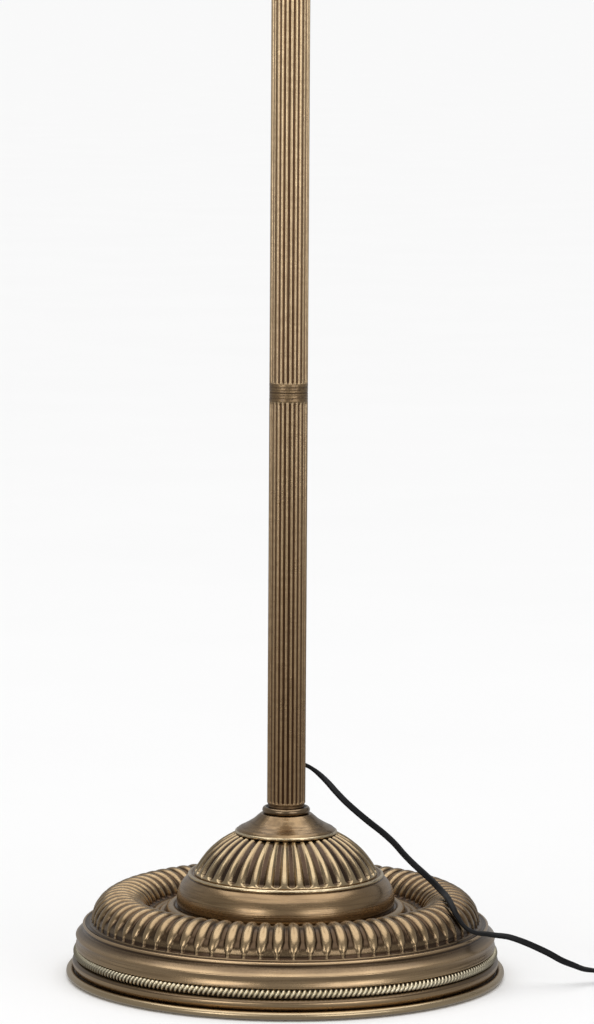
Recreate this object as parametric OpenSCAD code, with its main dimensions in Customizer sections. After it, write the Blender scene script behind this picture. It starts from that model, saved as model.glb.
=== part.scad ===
// Floor lamp with a spun and reeded antique-brass stand and a mosaic glass globe.
// Millimetres, +Z up. Origin: centre of the base, on the floor.
// The camera side of the stand is -Y. The cord leaves the pole towards +X.

/* [Base] */
// Outer diameter of the bottom plate over its rolled lip
base_d = 282; // [272:1:284]
// Diameter of the cast weight inside the base
ballast_d = 210; // [150:5:230]
// Height of the cast weight
ballast_h = 15; // [8:1:20]
// Height of the gadrooned ring's crest above the floor
gadroon_top = 54.8; // [53:0.2:55]

/* [Pole] */
// Diameter of the pole over its reeds
pole_d = 24.6; // [23.6:0.2:25]
// Number of reeds round the pole
reeds = 24; // [16:1:28]
// Distance from one pole joint to the next
section_pitch = 266.5; // [200:0.5:300]
// Height of the plain band on each side of a pole joint
ferrule_h = 5.7; // [4:0.1:8]

/* [Globe] */
// Outer diameter of the globe over its mosaic
globe_d = 224; // [200:1:240]
// Thickness of the blown glass under the mosaic
glass_t = 2.2; // [2:0.1:4]
// Thickness of the mosaic skin with its grout
tile_t = 2.45; // [1.5:0.05:3]

/* [Lampholder and bulb] */
// Outer radius of the lampholder's body
holder_r = 20.2; // [19:0.1:22]
// Widest radius of the bulb
bulb_r = 30; // [22:0.5:31]

/* [Cord, switch and plug] */
// Diameter of the cord
cord_d = 3.6; // [3:0.1:3.8]
// Length of the inline switch
switch_l = 62; // [54:1:64]
// Width of the inline switch
switch_w = 26; // [24:1:28]
// Spacing of the plug's two pins
pin_spacing = 18.6; // [18:0.1:20]
// Mean radius of the stored coil of cord
coil_r = 41; // [38:0.5:42]

/* [Hidden] */
$fn = 96;
eps = 0.01;
cr = cord_d / 2;
pole_r = pole_d / 2;
bore_r = pole_r - 2.5;          // inside of the pole tubes
rod_r = 5;                      // tie rod and nipples
thread_bore = rod_r + 0.05;     // their threaded holes
pole_z0 = 110;                  // where the pole's first joint is measured from
seam = [for (i = [1:4]) pole_z0 + i * section_pitch];
foot_top = 112.2;
head_z = seam[3];               // top of the pole
glob_r = globe_d / 2;
glass_r = glob_r - tile_t - 0.05;
cup_floor = head_z + 36;        // underside of the gallery
ring_z = cup_floor + 14.1;      // underside of the globe's neck ring
neck_r = 45.2;                  // outside of the glass neck
globe_z = ring_z + 13.9 + sqrt(glass_r * glass_r - neck_r * neck_r);
cap_z = globe_z + glob_r;       // top of the mosaic
exit_az = 60;                   // azimuth of the cord's hole in the pole
exit_z = 134.5;

// antique brass, dark to light
brass_dark = [0.36, 0.27, 0.17];
brass_mid = [0.50, 0.40, 0.25];
brass_light = [0.66, 0.55, 0.34];

// Radii of the base shells follow base_d; the middle keeps its size.
function rk(r) = r <= 34 ? r : 34 + (r - 34) * (base_d / 2 - 34) / 107;
function fit(p) = [for (q = p) [rk(q[0]), q[1]]];
module turned(p) { rotate_extrude() polygon(p); }

// ---------- base ----------

// felt ring that the lamp stands on
module base_pad() {
    color([0.16, 0.13, 0.11]) turned(fit([[36, 0], [126, 0], [126, 2], [36, 2]]));
}

// spun bottom plate: raised middle for the nut, rolled lip at the edge
module base_tray() {
    lip = rk(138.6);
    color(brass_mid) rotate_extrude() union() {
        polygon([[thread_bore, 9.6], [24, 9.6], [29, 2], [lip - 1, 2],
            [lip - 1, 3.2], [30, 3.2], [25, 10.8], [thread_bore, 10.8]]);
        translate([lip, 3.6]) circle(r = 2.4);
    }
}

// cast weight on the plate
module ballast_weight() {
    br = ballast_d / 2;
    color([0.2, 0.2, 0.21]) turned([[5.6, 11.6], [38, 11.6], [38, 3.2],
        [br, 3.2], [br, 3.2 + ballast_h - 2], [br - 2, 3.2 + ballast_h],
        [5.6, 3.2 + ballast_h]]);
}

// threaded rod from the nut under the plate up into the pole foot
module tie_rod() {
    color([0.6, 0.6, 0.58]) translate([0, 0, 2.6]) cylinder(r = rod_r, h = 121.4);
}

module base_washer() {
    color([0.6, 0.6, 0.58]) turned([[thread_bore + 0.2, 8], [14, 8], [14, 9.6], [thread_bore + 0.2, 9.6]]);
}

module hex_nut(af, h) {
    difference() {
        cylinder(r = af / sqrt(3), h = h, $fn = 6);
        translate([0, 0, -1]) cylinder(r = thread_bore, h = h + 2);
    }
}

module base_nut() {
    color([0.6, 0.6, 0.58]) translate([0, 0, 3]) hex_nut(17, 5);
}

// spun wall of the base: bottom torus, seat of the rope, belly, shoulder, cove
module base_skirt() {
    color(brass_mid) turned(fit([[134.2, 3.2], [134.2, 6.0], [135.2, 7.0],
        [136.5, 8.2], [137.1, 9.6], [136.8, 11.0], [136.0, 12.0],
        [134.9, 12.6], [133.1, 12.8], [133.1, 19.4], [134.6, 19.6],
        [134.9, 20.4], [135.0, 22.0], [134.9, 24.0], [134.7, 25.6],
        [134.3, 27.2], [133.6, 28.6], [132.6, 29.8], [131.4, 30.8],
        [130.4, 31.8], [129.9, 32.8], [130.0, 33.6], [130.3, 34.3],
        [129.9, 34.9], [129.0, 35.0], [127.0, 34.5], [124.0, 34.5],
        [112.0, 34.5], [112.0, 33.3], [128.3, 33.3], [128.6, 32.4],
        [129.2, 31.2], [130.4, 30.0], [131.6, 29.0], [132.5, 27.8],
        [133.1, 26.2], [133.4, 24.4], [133.5, 22.0], [133.3, 20.9],
        [132.6, 20.7], [131.8, 19.9], [131.8, 12.2], [133.6, 11.6],
        [135.0, 10.8], [135.6, 9.6], [135.2, 8.8], [134.0, 7.9],
        [133.0, 6.7], [133.0, 3.2]]));
}

// twisted-wire band lying in its seat on the wall
module rope_band() {
    color(brass_light) rotate_extrude() intersection() {
        translate([rk(133.5), 16.1]) circle(r = 3.15);
        translate([rk(133.1), 12.8]) square([6, 6.6]);
    }
}

// gadrooned ring with the hollow and the small beads inside it
module gadroon_ring() {
    gr = 18.8;
    gz = gadroon_top - gr;
    arc_out = [for (a = [0:6:162]) [106 + gr * cos(a), gz + gr * sin(a)]];
    arc_in = [for (a = [162:-6:0]) [106 + (gr - 1.4) * cos(a), gz + (gr - 1.4) * sin(a)]];
    color(brass_light) turned(fit(concat(
        [[123.4, 34.5], [126.2, 34.5], [126.2, 35.0], [125.3, 35.6]],
        arc_out,
        [[87.0, 40.8], [85.2, 41.0], [84.2, 41.5], [83.2, 41.0], [82.2, 40.5],
         [81.2, 41.5], [80.2, 42.2], [79.2, 41.8], [78.2, 41.4], [77.0, 43.6],
         [76.4, 45.0], [75.2, 46.0], [73.6, 46.3], [72.0, 45.8], [71.2, 44.8],
         [66.0, 44.8], [66.0, 43.4], [72.0, 43.4], [74.6, 44.6], [75.4, 43.4],
         [77.0, 40.4], [79.4, 40.2], [80.4, 40.6], [82.0, 39.1], [84.4, 39.4],
         [86.6, 39.2]],
        arc_in)));
}

// smooth convex band under the fluted dome, with a bead on its top edge
module dome_band() {
    color(brass_mid) turned(fit([[69.4, 44.8], [70.0, 47.0], [70.1, 50.0],
        [69.8, 53.0], [69.0, 56.0], [67.6, 59.0], [65.6, 61.8], [63.4, 63.9],
        [62.3, 64.6], [62.5, 65.4], [62.2, 66.2], [61.4, 66.8], [60.5, 66.7],
        [60.1, 66.0], [57.0, 66.0], [57.0, 64.6], [61.0, 64.2], [62.4, 63.0],
        [64.4, 61.0], [66.3, 58.4], [67.6, 55.6], [68.4, 52.8], [68.7, 50.0],
        [68.6, 47.2], [68.0, 44.8]]));
}

module fluted_dome() {
    color(brass_light) turned(fit([[58.6, 66.0], [58.9, 67.0], [58.0, 69.4],
        [56.4, 72.2], [54.3, 75.2], [51.6, 78.6], [48.6, 81.8], [45.2, 84.8],
        [41.6, 87.6], [38.0, 89.8], [35.0, 91.4], [32.8, 92.4], [26.0, 92.6],
        [26.0, 91.2], [32.4, 91.0], [34.4, 90.1], [37.3, 88.5], [40.7, 86.4],
        [44.2, 83.7], [47.5, 80.8], [50.5, 77.6], [53.1, 74.3], [55.1, 71.4],
        [56.6, 68.8], [57.2, 67.0], [57.2, 66.0]]));
}

// concave cap between the dome and the pole
module dome_cap() {
    color(brass_mid) turned([[thread_bore, 105.4], [16.0, 105.4], [16.8, 105.0],
        [17.6, 104.3], [18.5, 103.6], [19.8, 102.4], [21.6, 101.0],
        [23.8, 99.6], [26.4, 98.3], [29.2, 97.0], [31.2, 96.0], [32.0, 95.0],
        [32.2, 94.0], [31.8, 93.2], [31.0, 92.6], [28.4, 92.6], [28.4, 95.6],
        [25.4, 97.0], [22.8, 98.4], [20.4, 100.0], [18.4, 101.8],
        [16.8, 103.2], [15.6, 104.0], [thread_bore, 104.0]]);
}

// beaded ring with a seat for the pole
module top_ring() {
    color(brass_mid) turned([[thread_bore, 105.4], [13.8, 105.4], [14.8, 106.1],
        [15.3, 107.3], [15.2, 108.4], [14.6, 109.4], [13.7, 109.8],
        [12.9, 109.4], [12.6, 108.8], [thread_bore, 108.8]]);
}

// ---------- pole ----------

module reed_outline() {
    difference() {
        circle(r = pole_r);
        for (i = [0:reeds - 1]) rotate((i + 0.5) * 360 / reeds)
            translate([pole_r + 0.12, 0]) circle(r = 0.82, $fn = 24);
        circle(r = bore_r);
    }
}

module tube_part(z0, z1) {
    translate([0, 0, z0]) linear_extrude(z1 - z0) reed_outline();
}

// turned foot: plain band below the reeds, spigot inside the tube
module pole_foot() {
    color(brass_dark) turned([[thread_bore, 108.8], [pole_r - 1.2, 108.8],
        [pole_r - 0.65, 109.3], [pole_r - 0.65, 111.3], [pole_r - 0.4, 111.6],
        [pole_r - 0.4, foot_top], [bore_r - 0.05, foot_top],
        [bore_r - 0.05, 124], [thread_bore, 124]]);
}

module exit_axis(r0) { rotate([0, 0, exit_az]) translate([r0, 0, exit_z]) rotate([0, 90, 0]) children(); }

module pole_section_1() {
    color(brass_mid) difference() {
        tube_part(foot_top, seam[0] - ferrule_h);
        exit_axis(4) cylinder(r = 4.2, h = 16);
    }
}
module pole_section_2() { color(brass_mid) tube_part(seam[0] + ferrule_h, seam[1] - ferrule_h); }
module pole_section_3() { color(brass_light) tube_part(seam[1] + ferrule_h, seam[2] - ferrule_h); }
module pole_section_4() { color(brass_light) tube_part(seam[2] + ferrule_h, seam[3] - ferrule_h); }

// one turned end fitting, seam face at z = 0, spigot up
module ferrule() {
    f = ferrule_h / 5.7;
    turned([[thread_bore, 0], [pole_r - 0.3, 0], [pole_r, 0.3], [pole_r, 1.5 * f],
        [pole_r - 0.3, 1.8 * f], [pole_r, 2.1 * f], [pole_r, 3.4 * f],
        [pole_r - 0.3, 3.7 * f], [pole_r, 4.0 * f], [pole_r, 5.7 * f],
        [bore_r - 0.05, 5.7 * f], [bore_r - 0.05, 5.7 * f + 10],
        [thread_bore, 5.7 * f + 10]]);
}

// end fittings of the pole tubes: a pair at each joint and one at the top
module pole_ferrules() {
    color(brass_dark) {
        for (i = [0:2]) translate([0, 0, seam[i]]) {
            ferrule();
            mirror([0, 0, 1]) ferrule();
        }
        translate([0, 0, seam[3]]) mirror([0, 0, 1]) ferrule();
    }
}

module nipple(h) {
    difference() {
        cylinder(r = rod_r, h = h);
        translate([0, 0, -1]) cylinder(r = 3.4, h = h + 2);
    }
}

// hollow threaded couplings hidden in the pole joints
module pole_nipples() {
    color([0.6, 0.6, 0.58]) for (i = [0:2]) translate([0, 0, seam[i] - 14]) nipple(28);
}

// rubber bushing in the pole wall
module cord_bushing() {
    color([0.06, 0.06, 0.06]) difference() {
        union() {
            exit_axis(8.6) cylinder(r = 4.15, h = 5.2);
            difference() {
                exit_axis(10.4) cylinder(r = 5.4, h = 3.4);
                translate([0, 0, exit_z - 8]) cylinder(r = pole_r + 0.02, h = 16);
            }
        }
        exit_axis(6) cylinder(r = cr + 0.35, h = 12);
    }
}

// cable inside the pole, from the bushing up to the lampholder
module supply_cable() {
    color([0.05, 0.05, 0.05]) union() {
        translate([0, 0, exit_z - cr]) cylinder(r = cr, h = cup_floor + 20 + cr - exit_z);
        exit_axis(0.4) cylinder(r = cr * 0.94, h = 13.4);
    }
}

// ---------- head ----------

module neck_knop() {
    color(brass_mid) translate([0, 0, head_z]) turned([[thread_bore, 0],
        [12.0, 0], [13.2, 0.7], [13.6, 2.0], [13.0, 3.2], [11.4, 4.2],
        [11.0, 5.6], [12.6, 7.6], [15.6, 10.4], [18.4, 13.8], [19.8, 17.4],
        [20.0, 20.4], [19.0, 23.6], [16.8, 26.4], [14.0, 28.6], [12.0, 30.0],
        [11.6, 31.2], [12.4, 32.2], [14.6, 33.4], [16.4, 34.8], [16.8, 36.0],
        [thread_bore, 36.0]]);
}

module head_nipple() {
    color([0.6, 0.6, 0.58]) translate([0, 0, head_z - 14]) nipple(64);
}

// spun cup that carries the globe
module gallery_cup() {
    color(brass_mid) translate([0, 0, cup_floor]) turned([[thread_bore, 0],
        [17.2, 0], [24.0, 1.2], [31.0, 3.4], [37.4, 6.2], [43.0, 9.4],
        [47.4, 12.2], [49.4, 15.2], [50.4, 18.4], [51.2, 22.2], [51.9, 25.2],
        [52.8, 26.4], [53.0, 27.6], [52.2, 28.5], [51.0, 28.4], [50.2, 27.4],
        [48.8, 23.6], [47.1, 20.4], [47.1, 14.0], [40.6, 14.0], [39.8, 10.6],
        [36.2, 7.9], [30.4, 5.1], [23.6, 2.8], [17.0, 1.6], [thread_bore, 1.6]]);
}

module holder_nut() {
    color([0.6, 0.6, 0.58]) translate([0, 0, cup_floor + 1.6]) hex_nut(16, 3.4);
}

// lower cap of the lampholder
module holder_base() {
    color([0.10, 0.09, 0.08]) translate([0, 0, cup_floor + 5]) turned([
        [thread_bore, 0], [9, 0], [9.6, 0.6], [9.6, 3.4], [12.6, 5.0],
        [16.4, 7.8], [18.8, 11.2], [holder_r, 14.6], [holder_r, 19],
        [holder_r - 2, 19], [holder_r - 2, 15], [16.9, 12.2], [14.8, 9.2],
        [11.6, 6.8], [8.6, 5.6], [thread_bore, 5.6]]);
}

// upper tube of the lampholder with its two shade rings
module holder_body() {
    color([0.10, 0.09, 0.08]) translate([0, 0, cup_floor + 24]) turned([
        [14.9, 0], [holder_r, 0], [holder_r, 9], [holder_r + 1.6, 9.6],
        [holder_r + 1.6, 12.4], [holder_r, 13], [holder_r, 17],
        [holder_r + 1.6, 17.6], [holder_r + 1.6, 20.4], [holder_r, 21],
        [holder_r, 27.4], [holder_r - 0.6, 28], [14.9, 28]]);
}

// ceramic disc that carries the contacts
module holder_insulator() {
    color([0.85, 0.83, 0.78]) translate([0, 0, cup_floor + 24]) difference() {
        cylinder(r = 14.85, h = 3);
        for (s = [-1, 1]) translate([9 * s, 0, -1]) cylinder(r = 1.2, h = 5);
    }
}

module thread_shell() {
    color(brass_light) translate([0, 0, cup_floor + 27]) difference() {
        cylinder(r = 14.4, h = 24);
        translate([0, 0, 1]) cylinder(r = 13.7, h = 24);
        translate([0, 0, -1]) cylinder(r = 9, h = 4);
    }
}

// sprung tongue under the bulb's tip
module centre_contact() {
    color(brass_light) translate([0, 0, cup_floor + 27]) union() {
        translate([-5.4, -2.2, 0]) cube([10.8, 4.4, 0.8]);
        cylinder(r = 2.2, h = 1.7);
    }
}

module bulb_cap() {
    color([0.75, 0.75, 0.73]) translate([0, 0, cup_floor + 28.8]) turned([
        [0, 0], [3.2, 0], [4.6, 0.8], [8.6, 2.2], [12.6, 3.2], [13.2, 4.2],
        [13.2, 21.6], [12.2, 21.6], [12.2, 24], [0, 24]]);
}

// hollow glass of the bulb
module bulb_glass() {
    b = bulb_r / 30;
    color([0.95, 0.93, 0.85, 0.5]) translate([0, 0, cup_floor + 52.9]) turned([
        [10.6, 0], [13.4, 0], [14.6, 6], [17.4, 14], [22 * b, 22],
        [26.4 * b, 30], [29.2 * b, 39], [30 * b, 47], [29.2 * b, 55],
        [26.2 * b, 63], [21.2 * b, 69.6], [14.2 * b, 74.4], [7.2 * b, 76.6],
        [0, 77.4], [0, 76.6], [7 * b, 75.8], [13.8 * b, 73.6],
        [20.6 * b, 69], [25.5 * b, 62.6], [28.4 * b, 54.8], [29.2 * b, 47],
        [28.4 * b, 39.2], [25.6 * b, 30.4], [21.2 * b, 22.4], [16.6, 14.4],
        [13.8, 6.2], [12.6, 1], [10.6, 1]]);
}

// stem and four light strips in the bulb
module bulb_filament() {
    color([1.0, 0.8, 0.45]) translate([0, 0, cup_floor + 52.9]) union() {
        cylinder(r = 4, h = 6);
        cylinder(r = 1.8, h = 52);
        translate([0, 0, 50]) cylinder(r = 6, h = 1);
        translate([0, 0, 17]) cylinder(r = 6, h = 1);
        for (a = [0:90:270]) rotate(a) translate([5, 0, 17]) cylinder(r = 0.8, h = 34, $fn = 24);
    }
}

// ---------- globe, lifts off the cup ----------

module globe_ring() {
    color(brass_mid) translate([0, 0, ring_z]) turned([[41.4, 0], [46.0, 0],
        [46.5, 0.5], [46.5, 13.2], [46.0, 13.7], [45.3, 13.7], [45.3, 1.4],
        [41.4, 1.4]]);
}

module globe_glass() {
    inner = glass_r - glass_t;
    low = ring_z + 1.5 - globe_z;
    color([0.85, 0.9, 0.9, 0.5]) translate([0, 0, globe_z]) rotate_extrude() difference() {
        union() {
            intersection() {
                circle(r = glass_r);
                translate([0, -glass_r - 1]) square([glass_r + 1, 2 * glass_r + 2]);
            }
            translate([0, low]) square([neck_r, -low - 90]);
        }
        circle(r = inner);
        translate([-1, low - 1]) square([neck_r - glass_t + 1, -low - 88]);
        translate([-1, 0]) square([7.2, glass_r + 1]);
    }
}

// skin of coloured glass tiles, beads and grout
module mosaic_tiles() {
    cut = sqrt(glob_r * glob_r - 53 * 53);
    color([0.15, 0.35, 0.6]) translate([0, 0, globe_z]) rotate_extrude() difference() {
        circle(r = glob_r);
        circle(r = glass_r + 0.03);
        translate([-glob_r - 1, -glob_r - 1]) square([glob_r + 1, 2 * glob_r + 2]);
        translate([-1, -glob_r - 1]) square([glob_r + 2, glob_r + 1 - cut]);
        translate([-1, 0]) square([22.5, glob_r + 1]);
    }
}

module globe_cap() {
    color(brass_mid) translate([0, 0, cap_z - 2.5]) turned([[23.7, 0],
        [25.0, 0], [25.6, 0.9], [25.0, 1.9], [22.6, 3.2], [18.8, 4.8],
        [15.0, 7.0], [12.4, 9.8], [11.0, 12.8], [11.4, 14.0], [11.4, 15.2],
        [10.6, 16.0], [3.2, 16.0], [3.2, 14.6], [9.4, 14.6], [9.6, 12.4],
        [11.0, 8.9], [13.8, 5.8], [17.8, 3.4], [21.6, 1.8], [23.5, 0.8]]);
}

module cap_stud() {
    color([0.6, 0.6, 0.58]) translate([0, 0, cap_z - 15]) cylinder(r = 3, h = 38);
}

module cap_washer() {
    color([0.6, 0.6, 0.58]) translate([0, 0, cap_z - 7.62]) difference() {
        cylinder(r = 12, h = 1.4);
        translate([0, 0, -1]) cylinder(r = 3.2, h = 4);
    }
}

module cap_nut() {
    color([0.6, 0.6, 0.58]) translate([0, 0, cap_z - 12.05]) difference() {
        cylinder(r = 10 / sqrt(3), h = 4.4, $fn = 6);
        translate([0, 0, -1]) cylinder(r = 3.05, h = 7);
    }
}

module finial() {
    color(brass_light) translate([0, 0, cap_z + 13.5]) turned([[3.05, 0],
        [8.6, 0], [9.2, 0.9], [8.6, 1.9], [6.4, 3.0], [5.2, 4.8], [5.6, 6.6],
        [8.0, 8.6], [10.8, 11.6], [12.2, 15.4], [12.2, 19.2], [10.8, 23.2],
        [8.2, 26.8], [5.4, 29.8], [3.6, 32.6], [2.6, 35.4], [2.9, 37.0],
        [2.4, 38.8], [1.2, 40.0], [0, 40.3], [0, 10], [3.05, 10]]);
}

// ---------- cord ----------

// route from the bushing over the gadrooned ring to the switch
route_a = [[6.9, 12, 134.5], [9.6, 16.6, 134.3], [13.9, 20.5, 132.3], [18.8, 22.1, 128.9],
    [23.4, 21.4, 125], [27.5, 19, 121.2], [31, 15.7, 117.7], [34.6, 12.8, 114.3],
    [39, 10, 110.3], [46.5, 8, 104],
    [54, 7, 98], [62, 5.5, 92], [69.5, 3.5, 85.5], [76, 1, 78.5],
    [82.5, -2.5, 72.5], [89.5, -7.5, 67], [95, -14.5, 63], [99, -23, 60],
    [101.5, -32.5, 59], [103, -42.5, 58.5], [104, -47.5, 57.5], [105.5, -52, 55],
    [107.5, -55, 51.5], [110, -56.5, 47.5], [113, -57, 43.5], [117, -56, 40.5],
    [121.5, -53.5, 38.5], [126.5, -50.5, 37.5], [133, -47.5, 36], [141.5, -45, 34.5],
    [151, -43, 31], [159.5, -41, 27], [168, -38.5, 22.5], [176, -35.5, 17.5],
    [184, -31, 13.5], [190, -27.5, 10.5], [195.5, -24.5, 9], [201, -22.5, 8], [206, -22, 8]];
// from the switch to the coil
route_b = [[288, -22, 8], [294, -21, 7], [300, -17, 5.2], [304, -10, 3.6],
    [305.6, -1, 2.6], [306, 10, 2.4], [306, 22, 2.6], [306.6, 34, 2.9], [307.4, 46, 3.1]];
// from the coil to the plug
route_tail = [[307.6, 70, 6.6], [306, 80, 6.8], [303, 90, 6.9], [301, 98, 6.9], [300, 106, 6.9]];

function unit(v) = v / norm(v);
function tangent(p, i) = i == 0 ? unit(p[1] - p[0])
    : i == len(p) - 1 ? unit(p[i] - p[i - 1])
    : unit(unit(p[i + 1] - p[i]) + unit(p[i] - p[i - 1]));
// frame across the cord that never twists much: up is as near +Z as it can be
function side(t) = let (s = cross([0, 0, 1], t)) norm(s) < 0.2 ? unit(cross([0, 1, 0], t)) : unit(s);
function ring_pts(c, t, r, n) = let (s = side(t), u = cross(t, s))
    [for (k = [0:n - 1]) c + r * (cos(360 * k / n) * s + sin(360 * k / n) * u)];

module swept(p, r, n = 8) {
    pts = [for (i = [0:len(p) - 1]) each ring_pts(p[i], tangent(p, i), r, n)];
    m = len(p);
    faces = concat(
        [[for (k = [n - 1:-1:0]) k]],
        [[for (k = [0:n - 1]) (m - 1) * n + k]],
        [for (i = [0:m - 2], k = [0:n - 1])
            let (a = i * n + k, b = i * n + (k + 1) % n) each [[a, b, b + n], [a, b + n, a + n]]]);
    polyhedron(points = pts, faces = [for (f = faces) [for (k = [len(f) - 1:-1:0]) f[k]]]);
}

module cord_a() { color([0.06, 0.06, 0.065]) swept(route_a, cr); }
module cord_b() { color([0.06, 0.06, 0.065]) swept(route_b, cr); }
module cord_tail() { color([0.06, 0.06, 0.065]) swept(route_tail, cr); }

coil_at = [262, 62];

module cord_coil() {
    color([0.06, 0.06, 0.065]) translate([coil_at[0], coil_at[1], 0.9]) rotate_extrude()
        translate([coil_r - 9, 0]) square([18, 8]);
}

// flat band round one side of the coil
module coil_tie() {
    color([0.1, 0.1, 0.1]) translate([coil_at[0] - coil_r, coil_at[1], 0]) difference() {
        translate([-10, -3, 0]) cube([20, 6, 9.8]);
        translate([-9.2, -4, 0.8]) cube([18.4, 8, 8.2]);
    }
}

// ---------- inline switch ----------

sw_at = [247, -22, 0];
module at_switch() { translate(sw_at) children(); }
module switch_outline(l, w, r) {
    translate([-l / 2 + r, -w / 2]) square([l - 2 * r, w]);
    translate([-l / 2, -w / 2 + r]) square([l, w - 2 * r]);
    for (sx = [-1, 1], sy = [-1, 1]) translate([sx * (l / 2 - r), sy * (w / 2 - r)]) circle(r = r);
}

module switch_lower() {
    color([0.05, 0.05, 0.05]) at_switch() difference() {
        linear_extrude(8) switch_outline(switch_l, switch_w, 6);
        translate([-20, -7, 2]) cube([40, 14, 7]);
        for (s = [-1, 1]) translate([25 * s, 0, -1]) {
            cylinder(r = 1.3, h = 10);
            cylinder(r = 2.6, h = 3);
        }
    }
}

module switch_upper() {
    color([0.05, 0.05, 0.05]) at_switch() difference() {
        union() {
            translate([0, 0, 8]) linear_extrude(6) switch_outline(switch_l, switch_w, 6);
            translate([0, 0, 14]) linear_extrude(1.2) switch_outline(switch_l - 3, switch_w - 3, 5);
            translate([0, 0, 15.2]) linear_extrude(0.8) switch_outline(34, 18, 4);
        }
        translate([-11.6, -5.8, 7]) cube([23.2, 11.6, 10]);
        translate([0, -9, 11.6]) rotate([-90, 0, 0]) cylinder(r = 1.2, h = 18);
        for (s = [-1, 1]) translate([25 * s, 0, 7]) cylinder(r = 1.3, h = 5);
    }
}

module switch_pin() {
    color([0.7, 0.7, 0.68]) at_switch() translate([0, -9, 11.6]) rotate([-90, 0, 0]) cylinder(r = 1.2, h = 18);
}

// rocker, stored in its off position with the -X end pressed down
module switch_rocker() {
    color([0.07, 0.07, 0.07]) at_switch() translate([0, 5.3, 11.6]) rotate([90, 0, 0])
        rotate([0, 0, 8]) linear_extrude(10.6) difference() {
            polygon([[-10.6, 5.2], [-10.6, 0.4], [-7.5, -2.6], [7.5, -2.6],
                [10.6, 0.4], [10.6, 5.2], [6, 4.6], [0, 4.3], [-6, 4.6]]);
            circle(r = 1.25);
        }
}

module switch_screws() {
    color([0.7, 0.7, 0.68]) at_switch() for (s = [-1, 1]) translate([25 * s, 0, 0]) {
        translate([0, 0, 0.4]) cylinder(r = 2.5, h = 1.6);
        translate([0, 0, 1.9]) cylinder(r = 1.25, h = 9.5);
    }
}

module switch_contacts() {
    color([0.8, 0.6, 0.3]) at_switch() for (s = [-1, 1]) translate([14 * s - 4, -3, 2]) union() {
        cube([8, 6, 1]);
        translate([2, 1.4, 0]) cube([1, 3, 3.6]);
    }
}

module switch_reliefs() {
    color([0.05, 0.05, 0.05]) at_switch() for (s = [-1, 1]) translate([s * switch_l / 2, 0, 8])
        rotate([0, 90 * s, 0]) cylinder(r1 = 3.8, r2 = 2.6, h = 10);
}

// ---------- plug ----------

// local +X points out of the plug's face; the plug lies on its flat side
plug_at = [300, 157, 6.85];
module at_plug() { translate(plug_at) rotate([0, 0, 90]) children(); }

module plug_body() {
    color([0.06, 0.06, 0.06]) at_plug() intersection() {
        translate([0, 0, -6.85]) linear_extrude(13.7) polygon([[0, -15.4],
            [-0.8, -17.0], [-2.4, -17.8], [-8, -17.8], [-12, -16.6], [-20, -13.2],
            [-30, -9.6], [-36, -8.2], [-37, -7.2], [-37, 7.2], [-36, 8.2], [-30, 9.6],
            [-20, 13.2], [-12, 16.6], [-8, 17.8], [-2.4, 17.8], [-0.8, 17.0], [0, 15.4]]);
        translate([0, 20, 0]) rotate([90, 0, 0]) linear_extrude(40) polygon([[-38, -4.6],
            [-35, -6.0], [-26, -7.0], [-1.2, -7.0], [1, -5.6], [1, 5.6],
            [-1.2, 7.0], [-26, 7.0], [-35, 6.0], [-38, 4.6]]);
    }
}

module plug_relief() {
    color([0.06, 0.06, 0.06]) at_plug() translate([-37, 0, 0]) rotate([0, -90, 0]) cylinder(r1 = 4.6, r2 = 2.7, h = 14);
}

module plug_pins() {
    color([0.75, 0.75, 0.75]) at_plug() for (s = [-1, 1]) translate([0, s * pin_spacing / 2, 0]) rotate([0, 90, 0]) union() {
        cylinder(r = 2, h = 17);
        translate([0, 0, 17]) sphere(r = 2);
    }
}

base_pad();
base_tray();
ballast_weight();
tie_rod();
base_washer();
base_nut();
base_skirt();
rope_band();
gadroon_ring();
dome_band();
fluted_dome();
dome_cap();
top_ring();
pole_foot();
pole_section_1();
pole_section_2();
pole_section_3();
pole_section_4();
pole_ferrules();
pole_nipples();
cord_bushing();
supply_cable();
neck_knop();
head_nipple();
gallery_cup();
holder_nut();
holder_base();
holder_body();
holder_insulator();
thread_shell();
centre_contact();
bulb_cap();
bulb_glass();
bulb_filament();
globe_ring();
globe_glass();
mosaic_tiles();
globe_cap();
cap_stud();
cap_washer();
cap_nut();
finial();
cord_a();
cord_b();
cord_coil();
cord_tail();
coil_tie();
switch_lower();
switch_upper();
switch_rocker();
switch_pin();
switch_screws();
switch_contacts();
switch_reliefs();
plug_body();
plug_relief();
plug_pins();
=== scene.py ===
import bpy, math
import numpy as np
from mathutils import Euler, Matrix, Vector


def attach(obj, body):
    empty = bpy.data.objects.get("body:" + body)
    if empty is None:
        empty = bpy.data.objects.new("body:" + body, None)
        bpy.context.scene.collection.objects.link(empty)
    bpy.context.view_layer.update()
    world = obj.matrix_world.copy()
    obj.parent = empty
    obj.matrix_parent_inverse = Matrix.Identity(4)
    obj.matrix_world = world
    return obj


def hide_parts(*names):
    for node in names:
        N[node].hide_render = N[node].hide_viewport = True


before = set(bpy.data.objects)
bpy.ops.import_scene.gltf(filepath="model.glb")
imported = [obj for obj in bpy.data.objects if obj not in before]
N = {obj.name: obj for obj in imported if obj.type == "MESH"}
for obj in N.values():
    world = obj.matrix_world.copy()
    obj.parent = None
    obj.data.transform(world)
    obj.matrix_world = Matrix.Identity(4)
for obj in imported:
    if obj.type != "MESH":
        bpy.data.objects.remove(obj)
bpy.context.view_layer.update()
MM = 0.001
TAU = 2 * math.pi


# ---------------------------------------------------------------- mesh tools

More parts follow.
